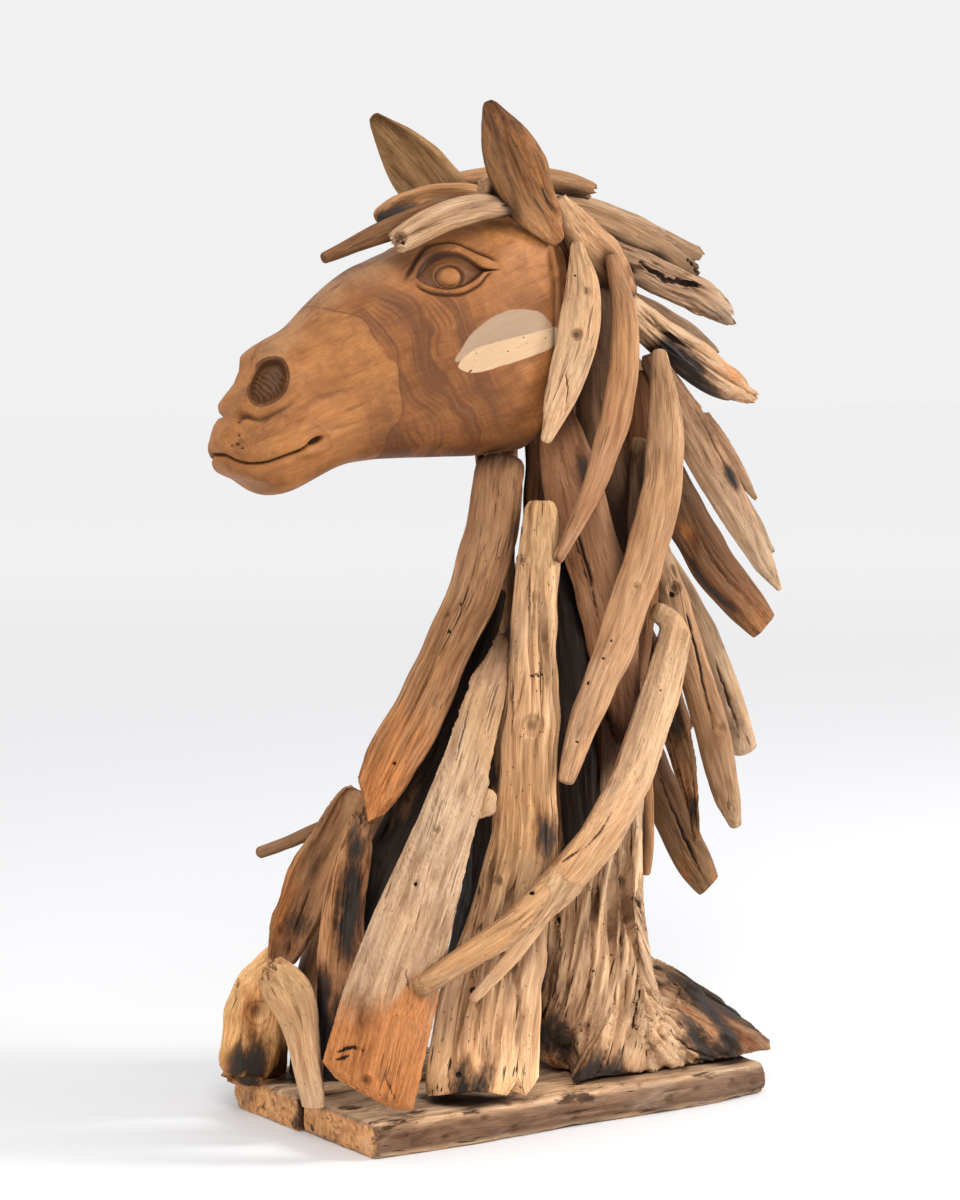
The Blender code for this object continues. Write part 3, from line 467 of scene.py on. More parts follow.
def measuredStick(name, look, rows, columns):
    points, faces = cornersOf(name)
    reach, face = look["reach"], np.array(look["face"])
    footHeight = None
    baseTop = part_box("base_board_left")[1].z
    if points[:, 2].min() < baseTop + 0.002 and not name.startswith("base_board"):
        footHeight = baseTop + 0.0006
    count = 44
    line = toEnds(middleLine(points, faces, face, reach), points, reach, footHeight)
    line = smoothRows(alongLine(line, count), 1.2)
    length = lineLength(line)
    normals = unit(np.gradient(line, axis=0))
    if footHeight is not None:
        turn = smoothStep(np.linspace(0, length, count), length - 0.08, length)[:, None]
        normals = unit(normals * (1 - turn) + np.array([0, 0, -1.0]) * turn)
    dense = columns * 4
    rings = []
    for at, normal in zip(line, normals):
        across, front = planeAxes(normal, face)
        hits = sliceAt(points, faces, at, normal, reach)
        if len(hits) < 3:
            rings.append(None)
            continue
        ring = hullOf(hits, at, across, front)
        rings.append(roundedRing(evenRing(ring, dense), look["soft"]))
    known = [i for i, ring in enumerate(rings) if ring is not None]
    for i, ring in enumerate(rings):
        if ring is None:
            near = min(known, key=lambda k: abs(k - i))
            rings[i] = rings[near] * 0.8
    rings = np.array(rings)[:, ::4]
    wanted = np.linspace(0, length, rows)
    index = np.linspace(0, count - 1, rows)
    low = np.minimum(index.astype(int), count - 2)

    def spread(values):  # read at as many even steps as the grid has rows
        rest = (index - low).reshape((-1,) + (1,) * (values.ndim - 1))
        return values[low] * (1 - rest) + values[low + 1] * rest

    local = smoothRows(spread(rings), look["softAlong"] / (length / rows))
    spine = spread(line)
    across, front = planeAxes(unit(spread(normals)), face)
    places3d = spine[:, None] + across[:, None] * local[..., :1] + front[:, None] * local[..., 1:]
    grain = np.concatenate([local, np.broadcast_to(wanted[:, None, None], (rows, columns, 1))], 2)
    return {
        "places": places3d,
        "grain": grain,
        "length": length,
        "across": across,
        "front": front,
        "footed": footHeight is not None,
    }


def atShares(grid, share):  # grid rows read at fractional row numbers, one per column and row
    rows, columns = grid.shape[:2]
    place = np.clip(share, 0, rows - 1)
    low = np.minimum(place.astype(int), rows - 2)
    rest = (place - low)[..., None]
    column = np.broadcast_to(np.arange(columns), share.shape)
    return grid[low, column] * (1 - rest) + grid[low + 1, column] * rest


def jagged(columns, chance, teeth, sharp=1.0):  # uneven torn outline round a stick, from 0 to 1
    turn = np.arange(columns) / columns
    total = np.zeros(columns)
    for n, weight in ((1, 0.5), (2, 0.4), (teeth // 2, 0.35), (teeth, 0.5), (teeth * 2, 0.3)):
        total += weight * np.sin(2 * math.pi * (n * turn + chance.random()))
    total = (total - total.min()) / (total.max() - total.min())
    return total**sharp


def shapeEnds(grid, startCut, endCut):  # shortens each column at the two ends by its own amount, in metres
    places, grain, length = grid["places"], grid["grain"], grid["length"]
    rows = places.shape[0]
    along = np.linspace(0, length, rows)[:, None]
    for cut, atStart in ((startCut, True), (endCut, False)):
        if cut is None:
            continue
        span = min(max(3.0 * cut.max(), 0.03), length * 0.6)
        far = along if atStart else length - along
        pull = smoothStep(1 - far / span, 0, 1) * cut[None]
        share = (along + (pull if atStart else -pull)) / length * (rows - 1)
        places, grain = atShares(places, share), atShares(grain, share)
    grid["places"], grid["grain"] = places, grain


def capRings(edge, edgeGrain, outward, count, rough, chance):
    middle, middleGrain = edge.mean(0), edgeGrain.mean(0)
    rings = []
    columns = len(edge)
    for k in range(1, count):
        share = 1 - k / count
        share = share**1.15
        jitter = np.array([chance.uniform(-1, 1) for _ in range(columns)]) * rough * min(1.0, 2 * share)
        place = middle + (edge - middle) * share + outward * jitter[:, None]
        rings.append((place, middleGrain + (edgeGrain - middleGrain) * share))
    return rings, middle, middleGrain


def meshFromGrid(name, grid, startRough, endRough, chance, capCount=5):
    places, grain = grid["places"], grid["grain"]
    columns = places.shape[1]
    outFirst = unit(places[0].mean(0) - places[2].mean(0))
    outLast = unit(places[-1].mean(0) - places[-3].mean(0))
    startRings, *startTip = capRings(places[0], grain[0], outFirst, capCount, startRough, chance)
    endRings, *endTip = capRings(places[-1], grain[-1], outLast, capCount, endRough, chance)
    layers = startRings[::-1] + list(zip(places, grain)) + endRings
    points, grains = (
        np.concatenate([layer[n] for layer in layers] + [startTip[n][None], endTip[n][None]]) for n in (0, 1)
    )
    total = len(layers)
    caps = len(startRings)
    endness = np.zeros(total)
    endness[: caps + 1] = 1.0
    endness[total - caps - 1 :] = 1.0
    endness = np.concatenate([np.repeat(endness, columns), [1.0, 1.0]])
    i, j = np.meshgrid(np.arange(total - 1), np.arange(columns), indexing="ij")
    nextJ = (j + 1) % columns
    here, ahead = i * columns, (i + 1) * columns
    quads = np.stack([here + j, here + nextJ, ahead + nextJ, ahead + j], -1).reshape(-1, 4)
    around = np.arange(columns)
    after = (around + 1) % columns
    startFan = np.stack([np.full(columns, len(points) - 2), after, around], -1)
    base = (total - 1) * columns
    endFan = np.stack([np.full(columns, len(points) - 1), base + around, base + after], -1)
    mesh = bpy.data.meshes.new(name)
    faces = [tuple(q) for q in quads.tolist()] + [tuple(t) for t in startFan.tolist() + endFan.tolist()]
    mesh.from_pydata(points.tolist(), [], faces)
    triangles = np.concatenate([startFan, endFan, quads[:, [0, 1, 2]], quads[:, [0, 2, 3]]])
    a, b, c = (points[corner] for corner in triangles.T)
    if (a * np.cross(b, c)).sum() < 0:
        mesh.flip_normals()
    storeValues(mesh, "grain", grains)
    storeValues(mesh, "endness", endness)
    return mesh


def addPiece(name, mesh):
    obj = bpy.data.objects.new(name, mesh)
    bpy.context.scene.collection.objects.link(obj)
    return obj


# wood finishes, as shader groups that every material uses with its own values


def makeGrainGroup():  # fibres, bands and specks that run along the stick
    net = Net(bpy.data.node_groups.new("woodGrain", "ShaderNodeTree"))
    net.socket("Vector", kind="Vector")
    for name, value in (("Fibre Size", 0.0013), ("Band Size", 0.009), ("Wave", 0.004)):
        net.socket(name, value)
    results = ("Fibre", "Band", "Figure", "Speck", "Height")
    for name in results:
        net.socket(name, output=True)
    given = net.add("NodeGroupInput").outputs
    done = net.add("NodeGroupOutput").inputs
    wavy = net.wave(given["Vector"], 0.4, 18.0, given["Wave"])
    fibreScale, bandScale = net.inverse(given["Fibre Size"]), net.inverse(given["Band Size"])

    def streaks(stretch, scale, detail, roughness=0.5):
        return net.cloud(net.stretched(wavy, stretch), scale, detail, roughness)

    fibre = net.remap(streaks(0.03, fibreScale, 2.0, 0.6), 0.3, 0.7)
    band = net.remap(streaks(0.06, bandScale, 3.0, 0.6), 0.3, 0.7)
    figure = net.remap(streaks(0.2, net.times(bandScale, 0.3), 3.0, 0.55), 0.3, 0.7)
    lines = streaks(0.05, net.times(fibreScale, 0.36), 1.0)
    where = net.cloud(net.scaled(net.shifted(given["Vector"], (5.0, 3.0, 1.0)), (1.0, 1.0, 0.4)), 30.0)
    lines = net.times(net.remap(lines, 0.62, 0.71), net.remap(where, 0.38, 0.6))
    dots = net.remap(streaks(0.5, 420.0, 1.0), 0.71, 0.76)
    speck = net.most(lines, net.times(dots, 0.8))
    height = net.timesPlus(fibre, 0.6, net.times(band, 0.5))
    height = net.minus(height, net.times(speck, 0.8))
    for name, value in zip(results, (fibre, band, figure, speck, height)):
        net.feed(value, done[name])
    return net.tree


def makePatchGroup():  # uneven patches of another tone, such as bleaching, stain or fresh wood
    net = Net(bpy.data.node_groups.new("woodPatches", "ShaderNodeTree"))
    net.socket("Vector", kind="Vector")
    for name, value in (("Size", 0.06), ("Amount", 0.4), ("Softness", 0.12)):
        net.socket(name, value)
    net.socket("Mask", output=True)
    given = net.add("NodeGroupInput").outputs
    done = net.add("NodeGroupOutput").inputs
    field = net.cloud(net.stretched(given["Vector"], 0.45), net.inverse(given["Size"]), 4.0, 0.6)
    limit = net.minus(0.78, net.times(given["Amount"], 0.56))
    net.feed(net.remap(field, limit, net.plus(limit, given["Softness"])), done["Mask"])
    return net.tree


grainGroup = makeGrainGroup()
patchGroup = makePatchGroup()


woodDefaults = {
    "lighter": (1.3, 1.38, 1.44),
    "darker": (0.52, 0.43, 0.35),
    "warm": (1.04, 0.84, 0.62),
    "warmShare": 0.4,
    # near-black colour of the painted shade inside cracks, holes and splits
    "crack": (0.022, 0.01, 0.005),
    "grey": (0.42, 0.33, 0.25),
    "greyAmount": 0.3,
    "greySize": 0.05,
    "greyShare": 0.3,
    "stain": (0.08, 0.038, 0.018),
    "stainAmount": 0.2,
    "stainSize": 0.03,
    "stainShare": 0.5,
    "fresh": (0.52, 0.19, 0.055),
    "char": (0.018, 0.013, 0.01),
    "figureShare": 0.5,
    "bandShare": 0.34,
    "fibreShare": 0.46,
    "speckShare": 0.75,
    # how strongly the painted shade darkens grooves, cracks and pits
    "recessShadeShare": 0.85,
    "shadeShare": 0.95,
    "fibreSize": 0.0009,
    "bandSize": 0.007,
    "wave": 0.006,
    "roughness": 0.76,
    "specular": 0.22,
    "bump": 0.55,
}


def makeWood(name, **changes):
    look = {**woodDefaults, **changes}
    material, net, shader = newMaterial(name, look["specular"])
    vector = net.read("grain", "Vector")
    inputs = {"Fibre Size": look["fibreSize"], "Band Size": look["bandSize"], "Wave": look["wave"]}
    grain = net.add("ShaderNodeGroup", {"Vector": vector, **inputs}, node_tree=grainGroup).outputs
    fibre, band, figure, speck = (grain[key] for key in ("Fibre", "Band", "Figure", "Speck"))

    def patches(kind, softness, offset):
        inputs = {"Vector": net.shifted(vector, offset), "Size": look[kind + "Size"]}
        inputs.update({"Amount": look[kind + "Amount"], "Softness": softness})
        return net.add("ShaderNodeGroup", inputs, node_tree=patchGroup).outputs["Mask"]

    def varied(value, amount):  # pieces with a bolder figure have a higher contrast
        return net.times(net.times(value, amount), net.read("contrast"), clamp=True)

    def over(share, tint):
        nonlocal colour
        colour = net.blend(share, colour, tint)

    colour = net.read("tone", "Color")
    warm = net.cloud(net.shifted(net.stretched(vector, 0.5), (0.7, 5.1, 2.2)), 17.0, 3.0, 0.6)
    over(net.times(net.remap(warm, 0.38, 0.66), look["warmShare"]), net.tinted(colour, look["warm"]))
    tone = colour
    over(varied(net.minus(1.0, figure), look["figureShare"]), net.tinted(tone, look["darker"]))
    over(varied(band, look["bandShare"]), net.tinted(tone, look["lighter"]))
    over(net.times(patches("grey", 0.14, (1.3, 0.7, 0.2)), look["greyShare"]), look["grey"])
    streak = net.blend(fibre, (0.5, 0.44, 0.38), (1.26, 1.28, 1.3))
    over(look["fibreShare"], net.tinted(colour, streak))
    over(varied(patches("stain", 0.1, (4.1, 2.3, 0.9)), look["stainShare"]), look["stain"])
    raw = net.blend(fibre, graded(0.75, look["fresh"]), graded(1.35, look["fresh"]))
    ragged = net.cloud(net.stretched(vector, 0.35), 75.0, 4.0, 0.65)
    ragged = net.minus(net.timesPlus(ragged, 1.5, net.times(fibre, 0.12)), 0.81)

    def stained(kind, low, high):  # the mark's own mask with an uneven edge
        mask = net.remap(net.plus(net.read(kind), ragged), low, high)
        return net.times(mask, net.above(net.read(kind), 0.05))

    over(net.times(stained("fresh", 0.3, 0.95), 0.9), raw)
    # dark marks: stains and knot halos, the painted shade along grooves and in dents, and a darker band along
    # splits
    over(net.times(stained("dark", 0.35, 1.05), 0.85), net.tinted(colour, (0.3, 0.24, 0.2)))
    over(varied(speck, look["speckShare"]), look["stain"])
    # painted shade in grooves, cracks, pits and round knots
    recessShade = net.read("recessShade")
    over(net.times(recessShade, look["recessShadeShare"]), net.tinted(colour, (0.3, 0.22, 0.16)))
    over(net.remap(net.read("knot"), 0.15, 0.95, 0.0, 0.75), look["stain"])
    char = stained("char", 0.4, 0.85)
    burnt = net.blend(net.remap(ragged, -0.3, 0.35), look["char"], graded(2.6, look["char"]))
    over(net.times(stained("char", 0.2, 0.65), 0.75), net.tinted(colour, (0.34, 0.24, 0.18)))
    over(char, burnt)
    # painted shade where neighbouring sticks close a place in, and dark joints where they touch
    paintedShadeAndJoints = net.times(net.remap(net.read("shade"), 0.14, 0.66), look["shadeShare"])
    paintedShadeAndJoints = net.timesPlus(net.remap(net.read("joint"), 0.3, 1.0), 0.45, paintedShadeAndJoints, clamp=True)
    over(paintedShadeAndJoints, net.tinted(colour, (0.1, 0.065, 0.045)))
    # painted shade: near black inside cracks, holes and splits
    over(net.remap(net.read("crack"), 0.25, 0.8), look["crack"])
    net.feed(colour, shader["Base Color"])
    rough = net.timesPlus(recessShade, 0.15, look["roughness"])
    rough = net.minus(rough, net.times(band, 0.08))
    net.feed(net.minus(rough, net.times(char, 0.15), clamp=True), shader["Roughness"])
    bump = {"Height": grain["Height"], "Distance": 0.0008, "Strength": look["bump"]}
    net.feed(net.add("ShaderNodeBump", bump).outputs[0], shader["Normal"])
    return material


woods = {
    "pale": makeWood("paleDriftwood"),
    "tan": makeWood("tanDriftwood"),
    "brown": makeWood("brownDriftwood", grey=(0.34, 0.25, 0.17)),
    "charred": makeWood(
        "charredDriftwood", grey=(0.09, 0.055, 0.035), fresh=(0.3, 0.14, 0.06), specular=0.12
    ),
    "board": makeWood(
        "baseBoard", grey=(0.46, 0.36, 0.27), greyAmount=0.45, greySize=0.03,
        stainAmount=0.38, stainSize=0.022, stainShare=0.7, bandSize=0.006,
    ),
}
print("woods ready:", len(woods))
reliefTree = makeReliefTree()


# the carved head; places on its side are (x, z), and both sides are alike


headShape = {
    "voxel": 0.003,
    "squareness": 0.4,
    "swellings": (  # centre, radius and push outwards: nostril, brow, chin, bridge, forehead, nose
        ((-0.264, 0.026, 0.742), 0.025, (-0.003, 0.008, 0.006)),
        ((-0.092, 0.056, 0.844), 0.026, (0.0, 0.0035, 0.0)),
        ((-0.272, 0.012, 0.627), 0.014, (0.0, 0.0, 0.004)),
        ((-0.17, 0.000, 0.812), 0.055, (-0.0045, 0.0, 0.008)),
        ((-0.138, 0.000, 0.842), 0.035, (-0.001, 0.0, 0.003)),
        ((-0.25, 0.000, 0.768), 0.03, (-0.002, 0.0, 0.0055)),
    ),
    "muzzleSquareness": 0.5,
    "iris": (-0.0775, 0.833),
    "irisRadii": (0.0156, 0.0126),
    "eyeDepth": 0.0078,
    "facing": (0.825, 0.565),
    "ballHeight": 0.0036,
    "irisDepth": 0.0024,
    "pupilHeight": 0.0036,
    "browHeight": 0.003,
    "nostrilDepth": 0.016,
    "gougeDepth": 0.0009,
    "gougeSpacing": 0.0047,
    "wingDepth": 0.0042,
    "veinDepth": 0.0018,
    "mouthDepth": 0.007,
    "holeDepth": 0.003,
    "lipCorner": (-0.222, 0.675),
    "holes": (  # x, y, z, radius
        (-0.28, -0.012, 0.731, 0.0024), (-0.284, -0.016, 0.7225, 0.0016), (-0.2915, -0.022, 0.695, 0.0024),
        (-0.2925, -0.026, 0.6815, 0.0016), (-0.2935, -0.026, 0.6725, 0.0026), (-0.2905, -0.03, 0.669, 0.0018),
        (-0.2965, -0.022, 0.671, 0.0016), (-0.288, 0.018, 0.7, 0.002), (-0.29, 0.02, 0.676, 0.002),
    ),
    "frontBumps": (  # height, how far the front stands out there
        (0.62, 0), (0.634, -0.002), (0.645, 0), (0.653, 0), (0.663, 0), (0.678, 0.001), (0.69, -0.001),
        (0.699, -0.004), (0.708, 0.001), (0.72, 0), (0.732, -0.002), (0.743, -0.004), (0.755, 0), (0.775, 0),
    ),
}
# Many of these points were worked out by another program, by casting rays onto the head, and then moved.
headLines = {  # millimetres on its side
    "eyeTop": (
        (-108, 831.1), (-103, 838.7), (-94, 848.4), (-84, 854.4), (-75, 856.1), (-65, 855.1),
        (-56, 849.8), (-48, 843.5), (-41, 840.3), (-26, 838.9),
    ),
    "eyeBottom": (
        (-43, 836.5), (-54, 828.3), (-65, 822.9), (-74, 820.6), (-84, 819.5), (-95, 821.5), (-103, 824.7),
    ),
    "upperFold": (
        (-123, 824.7), (-112, 835.5), (-98, 849.6), (-85, 860), (-74, 864.4), (-64, 863.9), (-55, 859.6),
        (-46, 854.8), (-35, 850.1), (-27, 844.8),
    ),
    "lowerFold": (
        (-112, 827.9), (-107, 820.4), (-97, 815.1), (-84, 813.6), (-70, 814.3), (-58, 818.7),
        (-47, 825.2), (-40, 832.8), (-32, 837.7),
    ),
    "nostril": (  # seen at an angle: place along "facing", height
        (-220, 725), (-216.8, 740), (-209.5, 750), (-198, 754.5), (-186.5, 753), (-180, 741),
        (-180.8, 727), (-188, 716), (-202, 708.5), (-214, 711),
    ),
    "wing": (
        (-290, 699.5), (-287, 700.1), (-277, 696.2), (-262, 701.5), (-250, 708.1), (-241, 716.1),
        (-225, 730.7), (-206, 738.7), (-176, 749.5),
    ),
    "lips": (
        (-310, 665.5), (-302, 663.5), (-294, 657.2), (-286, 654.6), (-273, 655.3), (-259, 659.8),
        (-242, 665.6), (-230, 671), (-215, 677),
    ),
    "upperVein": (
        (-228, 688), (-204, 686), (-173, 693), (-150, 700),
    ),
    "lowerVein": (
        (-225, 712), (-190, 722), (-160, 730),
    ),
    "scar": (
        (-224, 692), (-211, 684), (-202, 670),
    ),
    "frontPatch": (
        (-200, 803), (-178, 796.3), (-164, 790.2), (-157, 772.3), (-147, 754.5), (-136, 748.5),
        (-135, 727.6), (-130, 697.6), (-142, 679.7), (-140, 640), (-200, 570), (-420, 570), (-420, 860),
        (-260, 840),
    ),
    "paleStrip": (
        (-75, 747.5), (-57, 762), (-28, 770), (6, 777), (45, 784), (45, 768), (6, 754), (-28, 745),
        (-54, 739), (-70, 741),
    ),
    "greyPatch": (
        (-76, 749), (-72, 762), (-61, 776), (-39, 792), (-13, 801), (17, 799), (30, 790), (34, 781),
        (-20, 768),
    ),
}


def smoothStep(value, low, high):
    share = np.clip((value - low) / (high - low), 0, 1)
    return share * share * (3 - 2 * share)


def curveThrough(points, count=40, closed=False):  # smooth line through the given points
    points = np.array(points, dtype=float)
    if closed:
        padded = np.concatenate([points[-1:], points, points[:2]])
        spans = len(points)
    else:
        padded = np.concatenate([2 * points[:1] - points[1:2], points, 2 * points[-1:] - points[-2:-1]])
        spans = len(points) - 1
    place = np.linspace(0, spans, count, endpoint=not closed)
    i = np.minimum(place.astype(int), spans - 1)
    t = (place - i)[:, None]
    a, b, c, d = (padded[i + n] for n in range(4))
    return 0.5 * (2 * b + (c - a) * t + (2 * a - 5 * b + 4 * c - d) * t**2 + (3 * b - a - 3 * c + d) * t**3)


def headLine(name, count, closed=False):
    return curveThrough(np.array(headLines[name]) / 1000, count, closed)


def toLine(places, line):  # distance to a line, and how far along it from 0 to 1
    far = np.full(len(places), 1.0)
    share = np.zeros(len(places))
    spans = len(line) - 1
    for n in range(spans):
        span = line[n + 1] - line[n]
        t = np.clip((places - line[n]) @ span / (span @ span + 1e-15), 0, 1)
        here = lengths(places - line[n] - t[:, None] * span)
        nearer = here < far
        far[nearer] = here[nearer]
        share[nearer] = (n + t[nearer]) / spans
    return far, share


def toLoop(places, loop):  # distance to a closed line, positive inside it
    closed = np.concatenate([loop, loop[:1]])
    inside = np.zeros(len(places), dtype=bool)
    for a, b in zip(closed[:-1], closed[1:]):
        crosses = (a[1] > places[:, 1]) != (b[1] > places[:, 1])
        level = a[0] + (places[:, 1] - a[1]) / (b[1] - a[1] + 1e-12) * (b[0] - a[0])
        inside ^= crosses & (places[:, 0] < level)
    far = toLine(places, closed)[0]
    return np.where(inside, far, -far)


def mound(far, width):
    return np.exp(-((far / width) ** 2))


def readPoints(mesh, what="co"):
    values = np.empty(len(mesh.vertices) * 3, dtype=np.float32)
    mesh.vertices.foreach_get(what, values)
    return values.reshape(-1, 3).astype(float)


def movePoints(mesh, points):
    mesh.vertices.foreach_set("co", points.astype(np.float32).ravel())
    mesh.update()


def readGrain(mesh):
    grain = np.empty(len(mesh.vertices) * 3, dtype=np.float32)
    mesh.attributes["grain"].data.foreach_get("vector", grain)
    return grain.reshape(-1, 3)


def storeValues(mesh, name, values):  # one number or one vector for each point
    kind, field = ("FLOAT", "value") if values.ndim == 1 else ("FLOAT_VECTOR", "vector")
    made = mesh.attributes.get(name) or mesh.attributes.new(name, kind, "POINT")
    made.data.foreach_set(field, values.astype(np.float32).ravel())


def relaxed(points, mesh, times, pull=0.5):
    edges = np.empty(len(mesh.edges) * 2, dtype=np.int32)
    mesh.edges.foreach_get("vertices", edges)
    a, b = edges.reshape(-1, 2).T
    degree = np.bincount(a, minlength=len(points)) + np.bincount(b, minlength=len(points))
    for strength in [pull, -pull * 1.04] * times:
        total = np.zeros_like(points)
        for n, level in enumerate(points.T):
            total[:, n] = np.bincount(a, level[b], len(points)) + np.bincount(b, level[a], len(points))
        points = points + (total / degree[:, None] - points) * strength
    return points


def squaredShoulders(ring, x):  # flatter sides and a broader nose than the plain rounded section
    side, height = ring.T
    half, low, high = np.abs(side).max(), height.min(), height.max()
    nose = 1 - smoothStep(x, -0.2, -0.13)
    strength = headShape["squareness"] * smoothStep(x, -0.11, -0.05) + headShape["muzzleSquareness"] * nose
    strength = max(strength, 0.22)
    power = 1 - strength * smoothStep((height - low) / (high - low), 0.45, 0.8)
    return np.column_stack([np.sign(side) * half * (np.abs(side) / half) ** power, height])


def headBase():  # the CAD head's outer form with its recesses filled
    points, faces = cornersOf("head")
    low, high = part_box("head")
    step, columns = 0.002, 168
    across, front = np.array([0.0, 1.0, 0.0]), np.array([0.0, 0.0, 1.0])
    stations = np.arange(low.x + 0.001, high.x - 0.0005, step)
    rings = []
    for x in stations:
        at = np.array([x, 0.0, 0.0])
        hits = sliceAt(points, faces, at, np.array([1.0, 0.0, 0.0]), 2.0)
        ring = evenRing(hullOf(hits, at, across, front), columns)
        rings.append(roundedRing(evenRing(squaredShoulders(ring, x), columns), 0.006))
    rings = np.array(rings)
    crisp, soft = smoothRows(rings, 0.0022 / step), smoothRows(rings, 0.011 / step)
    edge = smoothStep(np.abs(stations - 0.035), 0.008, 0.03)
    edge = edge * smoothStep(stations, low.x + 0.02, low.x + 0.06)
    rings = crisp + (soft - crisp) * edge[:, None, None]
    layers = []

    def addLayer(x, ring, share=1.0):  # a ring of the form, drawn in to a share of its width
        middle = ring.mean(0)
        drawnIn = ring if share == 1.0 else middle + (ring - middle) * share
        layers.append(np.column_stack([np.full(columns, x), drawnIn]))

    for share in (0.25, 0.5, 0.7, 0.85, 0.95):
        addLayer(stations[0] - 0.0015 * math.sqrt(1 - share * share), rings[0], share)
    for x, ring in zip(stations, rings):
        addLayer(x, ring)
    for share in (0.97, 0.9, 0.6, 0.3):
        addLayer(high.x, rings[-1], share)
    total = len(layers)
    quads = []
    for here in range(0, (total - 1) * columns, columns):
        for j in range(columns):
            after, ahead = (j + 1) % columns, here + columns
            quads.append((here + j, here + after, ahead + after, ahead + j))
    quads.append(tuple(reversed(range(columns))))
    quads.append(tuple(range((total - 1) * columns, total * columns)))
    points = np.concatenate(layers)
    for centre, radius, push in headShape["swellings"]:
        for side in (-1, 1):
            mirror = np.array([1, side, 1])
            far = lengths(points - np.array(centre) * mirror)
            points = points + mound(far, radius)[:, None] * np.array(push) * mirror
    mesh = bpy.data.meshes.new("head")
    mesh.from_pydata(points.tolist(), [], quads)
    return mesh


def bake(obj):  # keeps what the modifiers make as a plain mesh
    graph = bpy.context.evaluated_depsgraph_get()
    graph.update()
    mesh = bpy.data.meshes.new_from_object(obj.evaluated_get(graph))
    old = obj.data
    obj.modifiers.clear()
    obj.data = mesh
    bpy.data.meshes.remove(old)
    mesh.name = obj.name


def refine(mesh, wanted):  # splits the faces whose centres are wanted into four
    form = bmesh.new()
    form.from_mesh(mesh)
    form.faces.ensure_lookup_table()
    centres = np.array([face.calc_center_median() for face in form.faces])
    chosen = wanted(centres)
    edges = {edge for face, take in zip(form.faces, chosen) if take for edge in face.edges}
    bmesh.ops.subdivide_edges(form, edges=list(edges), cuts=1, use_grid_fill=True)
    bmesh.ops.triangulate(form, faces=[face for face in form.faces if len(face.verts) > 4])
    form.to_mesh(mesh)
    form.free()


def nearFeature(places, eyeReach, noseReach):
    side = places[:, [0, 2]]
    eye = np.hypot((side[:, 0] + 0.08) / 1.45, side[:, 1] - 0.838) < eyeReach
    nose = np.hypot(side[:, 0] + 0.268, side[:, 1] - 0.73) < noseReach
    lips = toLine(side, headLine("lips", 12))[0] < noseReach * 0.34
    out = np.abs(places[:, 1]) > 0.02
    return (eye & out) | ((nose & out) | lips if noseReach > 0 else False)


